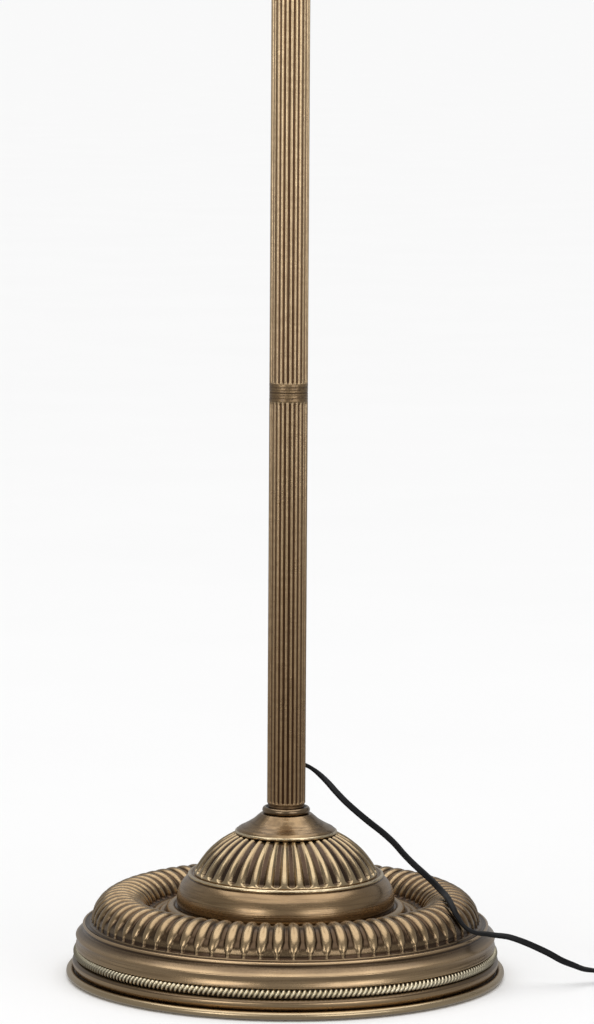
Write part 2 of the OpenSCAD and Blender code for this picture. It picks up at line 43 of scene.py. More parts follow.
def add_mesh(name, verts, faces, attrs=None, smooth=True, mm=True):
    """A mesh object from numpy points, with float or colour attributes per point."""
    verts = np.asarray(verts, float) * (MM if mm else 1.0)
    me = bpy.data.meshes.new(name)
    me.from_pydata(verts.tolist(), [], [tuple(int(i) for i in f) for f in faces])
    me.validate(clean_customdata=False)
    for key, val in (attrs or {}).items():
        val = np.asarray(val, np.float32)
        if val.ndim == 1:
            a = me.attributes.new(key, "FLOAT", "POINT")
            a.data.foreach_set("value", val)
        else:
            a = me.attributes.new(key, "FLOAT_COLOR", "POINT")
            a.data.foreach_set("color", np.c_[val, np.ones(len(val), np.float32)].ravel().astype(np.float32))
    me.polygons.foreach_set("use_smooth", [smooth] * len(me.polygons))
    me.update()
    ob = bpy.data.objects.new(name, me)
    bpy.context.scene.collection.objects.link(ob)
    return ob


def spline(points, step=0.7):
    """Smooth line through (a, b[, corner[, weight]]) points. corner 1 keeps a point sharp.
    Returns the points and their weights."""
    P = np.array([p[:2] for p in points], float)
    C = np.array([p[2] if len(p) > 2 else 0 for p in points])
    W = np.array([p[3] if len(p) > 3 else 1.0 for p in points], float)
    n = len(P)
    out, wts = [], []
    for i in range(n - 1):
        a, b = P[i], P[i + 1]
        d = np.linalg.norm(b - a)
        if d < 1e-6:
            continue
        pre = P[i - 1] if i > 0 and not C[i] else a - (b - a)
        post = P[i + 2] if i + 2 < n and not C[i + 1] else b + (b - a)
        t0 = (b - pre) / max(np.linalg.norm(a - pre) + d, 1e-6) * d
        t1 = (post - a) / max(np.linalg.norm(post - b) + d, 1e-6) * d
        k = max(1, int(round(d / step)))
        for t in np.arange(k) / k:
            h00, h10 = 2 * t**3 - 3 * t**2 + 1, t**3 - 2 * t**2 + t
            h01, h11 = -2 * t**3 + 3 * t**2, t**3 - t**2
            out.append(h00 * a + h10 * t0 + h01 * b + h11 * t1)
            wts.append(W[i] * (1 - t) + W[i + 1] * t)
    out.append(P[-1])
    wts.append(W[-1])
    return np.array(out), np.array(wts)


def lathe(name, points, nseg, disp=None, step=0.7, closed=True, dz=0.0, cav=None):
    """Turned shell about Z. points run round the section. disp(k, th, r, z, w) gives the
    height along the normal and the cavity, both (points, nseg)."""
    pr, w = spline(points, step)
    if closed and np.linalg.norm(pr[0] - pr[-1]) < 1e-6:
        pr, w = pr[:-1], w[:-1]
    n = len(pr)
    nxt, prv = np.roll(pr, -1, 0), np.roll(pr, 1, 0)
    if not closed:
        nxt[-1], prv[0] = pr[-1], pr[0]
    tan = nxt - prv
    tan /= np.maximum(np.linalg.norm(tan, axis=1), 1e-9)[:, None]
    area = 0.5 * np.sum(pr[:, 0] * nxt[:, 1] - nxt[:, 0] * pr[:, 1])
    nor = np.c_[tan[:, 1], -tan[:, 0]] * (1 if area > 0 or not closed else -1)
    arc = np.r_[0, np.cumsum(np.linalg.norm(np.diff(pr, axis=0), axis=1))]
    th = np.arange(nseg) / nseg * TAU
    D = np.zeros((n, nseg))
    K = np.zeros((n, nseg))
    if disp:
        D, K = disp(arc, th[None, :], pr[:, 0][:, None], pr[:, 1][:, None], w[:, None])
        D, K = np.broadcast_to(D, (n, nseg)).copy(), np.broadcast_to(K, (n, nseg)).copy()
    if cav is not None:
        K = np.maximum(K, np.broadcast_to(cav(pr[:, 0], pr[:, 1])[:, None], (n, nseg)))
    # corners turned inward gather grime: curvature of the section itself
    turn = np.cross(pr - prv, nxt - pr) / np.maximum(
        np.linalg.norm(pr - prv, axis=1) * np.linalg.norm(nxt - pr, axis=1), 1e-9)
    turn = -turn * (1 if area > 0 or not closed else -1)
    kern = np.array([.05, .1, .2, .3, .2, .1, .05])
    turn = np.convolve(np.r_[turn[-3:], turn, turn[:3]], kern, "valid")
    K = np.clip(K + np.clip(turn * 3.0, 0, 0.8)[:, None] * w[:, None], 0, 1)
    edge = np.clip(-turn * 2.2, 0, 1)[:, None] * np.ones((1, nseg))
    R = pr[:, 0][:, None] + D * nor[:, 0][:, None]
    Z = pr[:, 1][:, None] + D * nor[:, 1][:, None] + dz
    X, Y = R * np.cos(th), R * np.sin(th)
    V = np.stack([X, Y, Z], -1).reshape(-1, 3)
    ii = np.arange(n if closed else n - 1)
    a = (ii[:, None] * nseg + np.arange(nseg)[None, :])
    b = (ii[:, None] * nseg + (np.arange(nseg)[None, :] + 1) % nseg)
    jj = ((ii + 1) % n)
    c = (jj[:, None] * nseg + (np.arange(nseg)[None, :] + 1) % nseg)
    d = (jj[:, None] * nseg + np.arange(nseg)[None, :])
    F = np.stack([a, b, c, d], -1).reshape(-1, 4)
    if not (area > 0 or not closed):
        F = F[:, ::-1]
    return add_mesh(name, V, F, {
        "cav": K.ravel(), "edge": edge.ravel(),
        "arc": np.repeat(arc, nseg)})


def speckle(shape, seed, span=5):
    """Even random spots round a turned piece, mean 0 and spread 1, drawn out along the turn."""
    g = np.random.default_rng(seed).random(shape)
    k = np.hanning(span + 2)[1:-1]
    k /= k.sum()
    g = np.array([np.convolve(np.r_[v[-span:], v, v[:span]], k, "same")[span:-span] for v in g])
    return (g - g.mean()) / g.std()


# ---------------------------------------------------------------- node tools

class Mat:
    def __init__(self, name):
        self.m = bpy.data.materials.new(name)
        self.m.use_nodes = True
        self.t = self.m.node_tree
        self.t.nodes.clear()
        self.out = self.t.nodes.new("ShaderNodeOutputMaterial")
        self.b = self.t.nodes.new("ShaderNodeBsdfPrincipled")
        self.t.links.new(self.b.outputs[0], self.out.inputs[0])

    def node(self, kind, **props):
        n = self.t.nodes.new("ShaderNode" + kind)
        for k, v in props.items():
            setattr(n, k, v)
        return n

    def link(self, a, b):
        self.t.links.new(a, b)

    def put(self, **vals):
        for k, v in vals.items():
            self.b.inputs[k.replace("_", " ")].default_value = v

    def math(self, op, a, b=None, clamp=False):
        n = self.node("Math", operation=op, use_clamp=clamp)
        for i, v in enumerate((a, b)):
            if v is None:
                continue
            if isinstance(v, (int, float)):
                n.inputs[i].default_value = v
            else:
                self.link(v, n.inputs[i])
        return n.outputs[0]

    def remap(self, v, a, b, c, d):
        n = self.node("MapRange")
        n.clamp = True
        self.link(v, n.inputs[0])
        for i, x in enumerate((a, b, c, d)):
            n.inputs[i + 1].default_value = x
        return n.outputs[0]

    def noise(self, vec, scale, detail=3.0, rough=0.55):
        n = self.node("TexNoise")
        n.inputs["Scale"].default_value = scale
        n.inputs["Detail"].default_value = detail
        n.inputs["Roughness"].default_value = rough
        if vec is not None:
            self.link(vec, n.inputs["Vector"])
        return n.outputs[0]

    def attr(self, name):
        n = self.node("Attribute", attribute_name=name)
        return n

    def mix(self, fac, a, b, mode="MIX"):
        n = self.node("Mix", data_type="RGBA", blend_type=mode)
        n.clamp_factor = True
        if isinstance(fac, (int, float)):
            n.inputs[0].default_value = fac
        else:
            self.link(fac, n.inputs[0])
        for i, v in ((6, a), (7, b)):
            if isinstance(v, (tuple, list)):
                n.inputs[i].default_value = tuple(v) + (1.0,) if len(v) == 3 else v
            else:
                self.link(v, n.inputs[i])
        return n.outputs[2]

    def bump(self, height, strength, dist, normal=None):
        n = self.node("Bump")
        n.inputs["Strength"].default_value = strength
        n.inputs["Distance"].default_value = dist
        self.link(height, n.inputs["Height"])
        if normal is not None:
            self.link(normal, n.inputs["Normal"])
        return n.outputs[0]

    def coords(self):
        return self.node("TexCoord").outputs["Object"]

    def ring_coords(self, along=900.0, round_=6.0):
        """Coordinates that run round the axis: cos, sin of the angle and the arc length.
        Noise read with them is drawn out into lines round the turned piece."""
        sep = self.node("SeparateXYZ")
        self.link(self.coords(), sep.inputs[0])
        x, y, z = sep.outputs
        r = self.math("SQRT", self.math("ADD", self.math("MULTIPLY", x, x), self.math("MULTIPLY", y, y)))
        r = self.math("MAXIMUM", r, 1e-4)
        c, s = self.math("DIVIDE", x, r), self.math("DIVIDE", y, r)
        comb = self.node("CombineXYZ")
        self.link(self.math("MULTIPLY", c, round_), comb.inputs[0])
        self.link(self.math("MULTIPLY", s, round_), comb.inputs[1])
        self.link(self.math("ADD", self.math("MULTIPLY", r, along * 0.8), self.math("MULTIPLY", z, along)), comb.inputs[2])
        return comb.outputs[0], z


def brass(name, high, low, groove, rough=0.30, lines=1.0, painted_height_light=False, grain=1.0, coat=0.25):
    """Antique brass under lacquer: rubbed colour on the high places, brown tarnish in the low
    ones, brushed lines round the axis, sandy grain, and dull spots. The height flag adds
    painted light: the colour gets lighter and more golden with height."""
    m = Mat(name)
    ring, z = m.ring_coords(along=1700.0, round_=2.2)
    ring2, _ = m.ring_coords(along=330.0, round_=1.4)
    obj = m.coords()
    fine = m.noise(ring, 1.0, 2.0, 0.6)
    broad = m.noise(ring2, 1.0, 3.0, 0.55)
    cloud = m.noise(obj, 42.0, 4.0, 0.6)
    sand = m.noise(obj, 1500.0, 2.0, 0.7)
    dark = tuple(c * 0.50 for c in low)
    col = m.mix(m.remap(broad, 0.34, 0.66, 0.0, 0.85), high, low)
    col = m.mix(m.remap(cloud, 0.45, 0.75, 0.0, 0.45), col, low)
    col = m.mix(m.remap(fine, 0.44, 0.70, 0.0, min(0.55 * lines, 0.9)), col, dark)
    col = m.mix(m.remap(sand, 0.50, 0.78, 0.0, 0.30 * grain), col, dark)
    k = m.attr("cav").outputs["Fac"]
    noisy = m.math("ADD", k, m.math("MULTIPLY", m.remap(sand, 0.3, 0.7, -0.5, 0.5), 0.22 * grain))
    col = m.mix(m.remap(noisy, 0.15, 0.72, 0.0, 1.0), col, groove)
    e = m.attr("edge").outputs["Fac"]
    col = m.mix(m.math("MULTIPLY", e, 0.45), col, tuple(min(1.0, c * 1.30) for c in high))
    if painted_height_light:
        # painted light: the pole is painted from bronze at the foot to lighter gold above the first joint, standing in
        # for brighter light higher up
        wob = m.math("MULTIPLY", m.remap(cloud, 0.3, 0.7, -0.5, 0.5), 0.05)
        up = m.remap(m.math("ADD", z, wob), 0.14, 0.60, 0.0, 1.0)
        lift = m.mix(up, (1.02, 0.94, 0.83), (1.90, 1.99, 2.02))
        col = m.mix(1.0, col, lift, "MULTIPLY")
    m.link(col, m.b.inputs["Base Color"])
    fl = m.remap(fine, 0.25, 0.75, -0.5, 0.5)
    rg = m.math("ADD", m.math("MULTIPLY", fl, 0.12 * lines), m.remap(cloud, 0.3, 0.75, rough - 0.03, rough + 0.09))
    rg = m.math("ADD", rg, m.math("MULTIPLY", k, 0.05))
    m.link(m.math("MAXIMUM", rg, 0.12), m.b.inputs["Roughness"])
    nb = m.bump(fine, min(0.22 * lines, 0.6), 0.0004)
    nb = m.bump(broad, 0.10 * lines, 0.0012, nb)
    nb = m.bump(sand, 0.10 * grain, 0.0003, nb)
    m.link(nb, m.b.inputs["Normal"])
    m.put(Metallic=1.0, Coat_Weight=coat, Coat_Roughness=0.14)
    return m.m


def plain(name, col, rough, metallic=0.0, col2=None, scale=300.0, bump=0.04, dist=0.0002, coat=0.0, spec=0.5, sheen=0.0):
    m = Mat(name)
    n1 = m.noise(m.coords(), scale, 3.0, 0.6)
    n2 = m.noise(m.coords(), scale * 0.09, 3.0, 0.6)
    c2 = col2 or tuple(x * 0.75 for x in col)
    m.link(m.mix(m.remap(n2, 0.3, 0.7, 0.0, 1.0), col, c2), m.b.inputs["Base Color"])
    m.link(m.remap(n1, 0.3, 0.7, max(rough - 0.06, 0.03), rough + 0.08), m.b.inputs["Roughness"])
    m.link(m.bump(n1, bump, dist), m.b.inputs["Normal"])
    m.put(Metallic=metallic, Coat_Weight=coat, Specular_IOR_Level=spec, Sheen_Weight=sheen)
    return m.m


def dress(ob, mat, body, replaces=()):
    ob.data.materials.clear()
    ob.data.materials.append(mat)
    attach(ob, body)
    if replaces:
        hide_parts(*replaces)
    return ob


# ---------------------------------------------------------------- camera

cam_data = bpy.data.cameras.new("camera")
cam_data.sensor_width = 36.0
cam_data.lens = 4629.63 * 36.0 / 1024.0
cam_data.clip_start, cam_data.clip_end = 0.05, 2000.0
cam = bpy.data.objects.new("camera", cam_data)
cam.location = (0.00579, -2.93335, 0.62886)
cam.rotation_euler = (Euler((math.radians(90 - 6.4005), 0, 0)).to_matrix() @ Matrix.Rotation(math.radians(0.35), 3, "Z")).to_euler()
bpy.context.scene.collection.objects.link(cam)
bpy.context.scene.camera = cam


# ---------------------------------------------------------------- cord

def smooth_path(P, step, passes=0):
    """Catmull-Rom through the points, resampled to even steps."""
    P = np.array(P, float)
    Q = np.vstack([2 * P[0] - P[1], P, 2 * P[-1] - P[-2]])
    out = []
    for i in range(1, len(Q) - 2):
        p0, p1, p2, p3 = Q[i - 1:i + 3]
        for t in np.linspace(0, 1, 16, endpoint=False):
            out.append(0.5 * ((2 * p1) + (p2 - p0) * t + (2 * p0 - 5 * p1 + 4 * p2 - p3) * t**2 + (3 * p1 - p0 - 3 * p2 + p3) * t**3))
    out.append(P[-1])
    out = np.array(out)
    for _ in range(passes):
        out[1:-1] = 0.5 * out[1:-1] + 0.25 * (out[:-2] + out[2:])
    s = np.r_[0, np.cumsum(np.linalg.norm(np.diff(out, axis=0), axis=1))]
    k = max(2, int(round(s[-1] / step)))
    u = np.linspace(0, s[-1], k + 1)
    return np.c_[[np.interp(u, s, out[:, j]) for j in range(3)]].T


def flex(name, path, width, thick, twist, mat, body, ns=24):
    """Flat twin flex: two round cores side by side, joined by a web. twist(s) is the angle in
    radians of its wide side about its own line, s in mm."""
    P = np.array(path, float)
    T = np.gradient(P, axis=0)
    T /= np.linalg.norm(T, axis=1)[:, None]
    # rotation-minimising frame
    S = np.zeros_like(P)
    s0 = np.cross([0, 0, 1.0], T[0])
    if np.linalg.norm(s0) < 0.2:
        s0 = np.cross([0, 1.0, 0], T[0])
    S[0] = s0 / np.linalg.norm(s0)
    for i in range(1, len(P)):
        v = S[i - 1] - T[i] * (S[i - 1] @ T[i])
        S[i] = v / np.linalg.norm(v)
    U = np.cross(T, S)
    arc = np.r_[0, np.cumsum(np.linalg.norm(np.diff(P, axis=0), axis=1))]
    # where the flex lies flat the wide side is level: angle that makes S horizontal
    H = np.cross(np.tile([0, 0, 1.0], (len(P), 1)), T)
    hl = np.linalg.norm(H, axis=1)
    H[hl > 1e-6] /= hl[hl > 1e-6][:, None]
    base = np.unwrap(np.arctan2((H * U).sum(1), (H * S).sum(1)))
    ang = base + np.array([twist(a) for a in arc])
    a = np.arange(ns) / ns * TAU
    half, off = thick / 2, (width - thick) / 2
    cx = half * np.cos(a) + off * np.sign(np.cos(a)) * np.minimum(1, np.abs(np.cos(a)) * 3.0)
    cy = half * np.sin(a) * (1 - 0.16 * np.exp(-(np.cos(a) / 0.20) ** 2))
    A = np.cos(ang)[:, None] * S + np.sin(ang)[:, None] * U
    B = -np.sin(ang)[:, None] * S + np.cos(ang)[:, None] * U
    V = P[:, None, :] + cx[None, :, None] * A[:, None, :] + cy[None, :, None] * B[:, None, :]
    n = len(P)
    F = []
    for i in range(n - 1):
        for j in range(ns):
            k = (j + 1) % ns
            F.append((i * ns + j, i * ns + k, (i + 1) * ns + k, (i + 1) * ns + j))
    F.append(tuple(range(ns - 1, -1, -1)))
    F.append(tuple((n - 1) * ns + j for j in range(ns)))
    seam = np.tile(np.exp(-(np.cos(a) / 0.25) ** 2), n)
    ob = add_mesh(name, V.reshape(-1, 3), F, {"seam": seam})
    return dress(ob, mat, body), (P * MM).tolist()


def cord_material():
    m = Mat("cord_pvc")
    n = m.noise(m.coords(), 900.0, 3.0, 0.6)
    big = m.noise(m.coords(), 60.0, 3.0, 0.6)
    col = m.mix(m.remap(big, 0.3, 0.7, 0.0, 1.0), (0.006, 0.006, 0.0065), (0.014, 0.014, 0.015))
    # painted shade: the groove between the two cores is painted darker
    col = m.mix(m.math("MULTIPLY", m.attr("seam").outputs["Fac"], 0.5), col, (0.004, 0.004, 0.0045))
    m.link(col, m.b.inputs["Base Color"])
    m.link(m.remap(n, 0.3, 0.7, 0.34, 0.50), m.b.inputs["Roughness"])
    m.link(m.bump(n, 0.06, 0.0002), m.b.inputs["Normal"])
    m.put(Specular_IOR_Level=0.13)
    return m.m


CORD = cord_material()
FLEX_W, FLEX_T = 4.2, 2.8

# the route's points are those of part.scad
ROUTE_A = [[6.9, 12, 134.5], [9.6, 16.6, 134.3], [13.9, 20.5, 132.3], [18.8, 22.1, 128.9],
    [23.4, 21.4, 125], [27.5, 19, 121.2], [31, 15.7, 117.7], [34.6, 12.8, 114.3],
    [39, 10, 110.3], [46.5, 8, 104],
    [54, 7, 98], [62, 5.5, 92], [69.5, 3.5, 85.5], [76, 1, 78.5],
    [82.5, -2.5, 72.5], [89.5, -7.5, 67], [95, -14.5, 63], [99, -23, 60],
    [101.5, -32.5, 59], [103, -42.5, 58.5], [104, -47.5, 57.5], [105.5, -52, 55],
    [107.5, -55, 51.5], [110, -56.5, 47.5], [113, -57, 43.5], [117, -56, 40.5],
    [121.5, -53.5, 38.5], [126.5, -50.5, 37.5], [133, -47.5, 36], [141.5, -45, 34.5],
    [151, -43, 31], [159.5, -41, 27], [168, -38.5, 22.5], [176, -35.5, 17.5],
    [184, -31, 13.5], [190, -27.5, 10.5], [195.5, -24.5, 9], [201, -22.5, 8], [206, -22, 8]]
ROUTE_B = [[288, -22, 8], [294, -21, 7], [300, -17, 5.2], [304, -10, 3.6],
    [305.6, -1, 2.6], [306, 10, 2.4], [306, 22, 2.6], [306.6, 34, 2.9]]
ROUTE_TAIL = [[306, 80, 6.8], [303, 90, 6.9], [301, 98, 6.9], [300, 106, 6.9]]
COIL_AT = (262.0, 62.0)

path_a = smooth_path(ROUTE_A, 1.5, 10)
cord_a, pa = flex("supply_cord", path_a, FLEX_W, FLEX_T,
                  lambda s: math.pi / 2 * (0.5 - 0.5 * math.cos(s / 283 * 3.2 * math.pi)) * (1 if s < 250 else max(0.0, (283 - s) / 33)),
                  CORD, "stand")
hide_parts("cord_a")

# five turns and a bit, three below and two above
turns = 5.08
tt = np.linspace(0, turns, int(turns * 150))
rad = np.interp(tt, [0, 0.35, 1.0, 2.0, 2.7, 3.1, 3.6, 4.2, 4.8, 5.08], [48.0, 46.4, 43.0, 38.5, 35.6, 36.2, 38.6, 42.0, 45.0, 46.4])
hgt = np.interp(tt, [0, 0.10, 2.6, 3.0, 4.7, 5.08], [3.0, 1.7, 1.7, 5.2, 5.3, 6.6])
for arr in (rad, hgt):
    k = np.ones(41) / 41
    arr[20:-20] = np.convolve(arr, k, "valid")
ang0 = math.atan2(46 - 62, 307.4 - 262)
coil = np.c_[COIL_AT[0] + rad * np.cos(ang0 + tt * TAU), COIL_AT[1] + rad * np.sin(ang0 + tt * TAU), hgt]
join_b = smooth_path(np.vstack([ROUTE_B, coil[:30:10]]), 1.8, 8)
join_t = smooth_path(np.vstack([coil[-30::10], ROUTE_TAIL]), 1.8, 8)
path_b = np.vstack([join_b[:-1], coil[21:-30], join_t])
path_b = smooth_path(path_b[::3], 1.8, 6)
cord_b, pb = flex("stored_cord", path_b, FLEX_W, FLEX_T, lambda s: 0.25 * math.sin(s / 60.0), CORD, "stand", 20)
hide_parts("cord_b", "cord_coil", "cord_tail")

# ---------------------------------------------------------------- materials

M_SMOOTH = brass("brass_turned", (0.37, 0.250, 0.134), (0.228, 0.148, 0.077), (0.058, 0.034, 0.019), 0.27, 1.2, grain=0.7)
M_WALL = brass("brass_wall", (0.495, 0.350, 0.200), (0.318, 0.215, 0.118), (0.060, 0.035, 0.018), 0.26, 1.1, grain=0.7)
M_CAP = brass("brass_crown", (0.325, 0.219, 0.115), (0.20, 0.129, 0.066), (0.058, 0.034, 0.019), 0.25, 1.9, grain=0.7)
M_RIBBED = brass("brass_gadroon", (0.445, 0.320, 0.180), (0.28, 0.190, 0.102), (0.056, 0.031, 0.015), 0.24, 0.35, grain=1.1, coat=0.2)
M_DOME = brass("brass_dome", (0.52, 0.40, 0.235), (0.35, 0.25, 0.14), (0.050, 0.028, 0.016), 0.20, 0.25, grain=0.7, coat=0.2)
M_BEADING = brass("brass_beading", (0.74, 0.61, 0.40), (0.52, 0.40, 0.235), (0.050, 0.030, 0.020), 0.20, 0.5, grain=0.9)
M_ROPE = brass("brass_rope", (0.93, 0.80, 0.59), (0.68, 0.55, 0.36), (0.100, 0.064, 0.038), 0.33, 0.15, grain=0.8, coat=0.05)
# the pole and its joint collars carry painted light that makes them lighter with height
M_POLE = brass("brass_pole", (0.36, 0.26, 0.155), (0.27, 0.188, 0.108), (0.070, 0.036, 0.018), 0.28, 0.25, painted_height_light=True, grain=0.9)
M_COLLAR = brass("brass_collar", (0.242, 0.163, 0.087), (0.143, 0.091, 0.048), (0.045, 0.027, 0.018), 0.34, 0.3, painted_height_light=True, grain=2.2)
M_RING = brass("brass_seat", (0.26, 0.182, 0.104), (0.15, 0.101, 0.058), (0.010, 0.007, 0.005), 0.20, 0.5, grain=0.6)
M_LIP = brass("brass_lip", (0.52, 0.40, 0.245), (0.355, 0.264, 0.152), (0.022, 0.014, 0.010), 0.26, 0.7, grain=0.6)
M_HEAD = brass("brass_head", (0.52, 0.385, 0.22), (0.37, 0.26, 0.145), (0.07, 0.043, 0.028), 0.26, 0.8, grain=0.6)
STEEL = plain("zinc_steel", (0.58, 0.58, 0.56), 0.34, 1.0, (0.42, 0.42, 0.41), 500)
CAST = plain("cast_weight", (0.10, 0.10, 0.10), 0.62, 0.6, (0.06, 0.055, 0.05), 240, 0.5, 0.0008)
FELT = plain("felt", (0.030, 0.027, 0.025), 0.95, 0.0, (0.018, 0.016, 0.015), 1400, 0.6, 0.0006, sheen=0.5)
BLACK = plain("black_gloss", (0.018, 0.018, 0.019), 0.26, 0.0, (0.013, 0.013, 0.014), 900, 0.05, 0.0002, coat=0.15)
BLACK_SOFT = plain("black_satin", (0.022, 0.022, 0.023), 0.42, 0.0, (0.016, 0.016, 0.017), 1300, 0.12, 0.0002)
CERAMIC = plain("ceramic", (0.80, 0.78, 0.72), 0.20, 0.0, (0.74, 0.71, 0.64), 200, 0.03, coat=0.4)
CONTACT = plain("contact_brass", (0.78, 0.60, 0.30), 0.25, 1.0, (0.66, 0.48, 0.22), 500)
NICKEL = plain("nickel", (0.68, 0.66, 0.62), 0.20, 1.0, (0.58, 0.56, 0.52), 400)
PHOSPHOR = plain("phosphor", (0.95, 0.68, 0.22), 0.5, 0.0, (0.85, 0.58, 0.18), 900)


# ---------------------------------------------------------------- foot

LIP = [(138.6 + 2.4 * math.cos(a), 3.35 + 2.35 * math.sin(a)) for a in np.radians(np.arange(-150, 151, 12))]
tray = lathe("bottom_plate", [(24, 9.6, 1), (29, 2, 1), (136.2, 2.0, 1)] + LIP +
             [(136.2, 3.3, 1), (30, 3.2, 1), (25, 10.8, 1), (5.05, 10.8, 1), (5.05, 9.6, 1), (24, 9.6, 1)], 360, step=0.9,
             cav=lambda r, z: np.where((r < 135.6) & (z > 1.5), 0.7, 0.0))
dress(tray, M_LIP, "stand", ["base_tray"])

SKIRT = [(133.0, 3.2, 1), (134.5, 3.2, 1), (134.9, 4.3), (135.4, 5.3), (136.0, 6.3), (136.5, 7.3), (136.95, 8.4), (137.1, 9.6),
    (136.9, 10.9), (136.1, 11.9), (134.9, 12.6), (133.1, 12.8, 1), (133.1, 19.1, 1), (134.6, 19.2, 1),
    (134.95, 19.7), (134.85, 21.0), (134.5, 22.4), (134.4, 23.6), (134.5, 24.9), (134.8, 26.0), (134.9, 26.7), (134.6, 27.3),
    (134.0, 27.85), (133.2, 28.5), (132.3, 29.2), (131.4, 30.0), (130.7, 30.8), (130.25, 31.7), (130.0, 32.3), (130.2, 32.9), (130.5, 33.5), (130.3, 34.3), (129.3, 34.75),
    (128.4, 34.1), (126.7, 33.95, 1), (126.2, 34.5, 1), (112.0, 34.5, 1), (112.0, 33.3, 1), (128.3, 33.2, 1), (128.7, 31.2), (129.5, 29.6), (131.1, 27.8), (133.2, 26.4),
    (133.3, 22.0), (132.6, 20.7), (131.8, 19.9, 1), (131.8, 12.2, 1), (133.6, 11.6), (135.5, 9.6), (134.6, 7.3),
    (133.6, 5.0), (133.0, 3.2, 1)]
# painted shade: the wall is darkened at its foot in the tray, in a band just under the rope, on its inner top under the
# gadrooned ring and across the cove above the shoulder
skirt = lathe("spun_wall", SKIRT, 480, step=0.4,
              cav=lambda r, z: np.clip(np.where(z < 5.0, (5.0 - z) / 1.6, 0) + np.where((z > 33.7) & (r < 128.9), 0.9, 0)
                                       + np.where((z > 10.5) & (z < 12.9), 0.72, 0) + np.where((z < 33.0) & (r > 129.5), np.clip((z - 27.9) / 0.8, 0, 1) * (0.36 - 0.18 * np.clip((z - 31.0) / 1.5, 0, 1)), 0), 0, 1))
dress(skirt, M_WALL, "stand", ["base_skirt"])


def sstep(a, b, x):
    t = np.clip((x - a) / (b - a), 0, 1)
    return t * t * (3 - 2 * t)


def rope_disp(arc, th, r, z, w):
    a = np.arctan2(z - 15.95, np.maximum(r - 133.1, 0.05))
    ph = (260 * th - 2.6 * np.sin(a)) / TAU
    u = (ph % 1.0) * 2 - 1
    h = np.sqrt(np.clip(1 - (u / 0.74) ** 2, 0, 1))
    on = np.where(r > 133.5, 1.0, 0.0)
    side_shade = sstep(0.45, 0.95, np.abs(np.cos(th)))                  # painted shade: darker towards the two sides on the X axis, away from the front and back, standing in for the dimmer light there
    return (h - 1) * 1.6 * on, np.clip(1.12 - 1.8 * h + 1.22 * side_shade, 0, 1) * on + (1 - on)


ROPE = [(133.1, 12.95, 1)] + [(133.5 + 3.05 * math.cos(a), 15.95 + 3.0 * math.sin(a)) for a in np.radians(np.arange(-84, 85, 12))] + [(133.1, 18.95, 1), (133.1, 12.95, 1)]
rope = lathe("rope_trim", ROPE, 260 * 11, rope_disp, step=0.5)
dress(rope, M_ROPE, "stand", ["rope_band"])

GA = 75
GR, GZ = 18.8, 36.0


def gad_disp(arc, th, r, z, w):
    """Tongues over the torus, each with a round tip from which a thin rib runs down to the hem."""
    a = np.degrees(np.arctan2(z - GZ, r - 106.0))
    on = w * sstep(-3, 1.0, a) * (1 - sstep(158, 168, a))
    u = ((th + TAU / 4) * GA / TAU + 0.44 + 0.5) % 1.0 - 0.5
    t = np.clip((a - 10) / 25, 0, 1)
    half = 0.105 + 0.28 * np.sqrt(1 - (1 - t) ** 2) * (0.65 + 0.35 * t) - 0.07 * sstep(108, 146, a)
    x = np.clip(np.abs(u + 0.035 - 0.06 * t) / half, 0, 1)
    h = (1 - x ** 2.3) ** 0.75
    depth = 1.05 + 1.15 * sstep(12, 34, a) - 0.5 * sstep(110, 150, a)
    c = np.clip((1 - h) * 1.3 - 0.12, 0, 1) * (0.50 + 0.50 * sstep(12, 26, a))
    c = np.clip(c + 0.26 * sstep(0.55, 1.0, np.cos(th)), 0, 1)      # painted shade: darker on the +X side, standing in for the cord's shadow and the dimmer light there
    return (h - 1) * depth * on, c * on


arc_out = [(106 + GR * math.cos(math.radians(a)), GZ + GR * math.sin(math.radians(a)), 0, 1.0) for a in range(0, 163, 6)]
arc_in = [(106 + (GR - 3.0) * math.cos(math.radians(a)), GZ + (GR - 3.0) * math.sin(math.radians(a)), 0, 0.0) for a in range(156, -1, -8)]
GAD = [(123.0, 34.6, 1, 0), (126.2, 34.55, 1, 0), (126.2, 35.0, 0, 0), (125.3, 35.6, 0, 0.0)] + arc_out + [
    (87.0, 40.8, 0, 0), (85.2, 41.0, 0, 0), (84.2, 41.5, 0, 0), (83.2, 41.0, 0, 0), (82.2, 40.5, 0, 0), (81.2, 41.5, 0, 0),
    (80.2, 42.2, 0, 0), (79.2, 41.8, 0, 0), (78.2, 41.4, 0, 0), (77.0, 43.6, 0, 0), (76.4, 45.0, 0, 0), (75.2, 46.0, 0, 0),
    (73.6, 46.3, 0, 0), (72.0, 45.8, 0, 0), (71.2, 44.8, 1, 0), (66.0, 44.8, 1, 0), (66.0, 43.4, 1, 0), (72.0, 43.4, 0, 0),
    (74.6, 44.6, 0, 0), (77.0, 40.4, 0, 0), (80.4, 40.2, 0, 0), (84.4, 39.4, 0, 0), (86.0, 39.0, 0, 0)] + arc_in + [(123.0, 34.6, 1, 0)]
gad = lathe("gadrooned_ring", GAD, GA * 20, gad_disp, step=0.75,
            cav=lambda r, z: np.where((z < 42.5) & (r < 89) & (r > 85.4), 0.45, 0) + np.where((r > 124.95) & (z < 35.75) & (z > 33.9), 0.85, 0) + np.where((r > 76.6) & (r < 79.0) & (z < 43.5), 0.9, 0)
            + np.where((r > 69) & (r < 72.2) & (z < 46), 0.9, 0))
dress(gad, M_RIBBED, "stand", ["gadroon_ring"])

def band_disp(arc, th, r, z, w):
    """The bead along the top edge is worn: small nicks and dark specks."""
    on = np.where((z > 64.2) & (r > 60.2), 1.0, 0.0)
    g = speckle((len(r), th.shape[1]), 11, 5)
    return -0.05 * np.clip(g, 0, 2) * on, np.clip(g - 0.9, 0, 1) * 0.8 * on


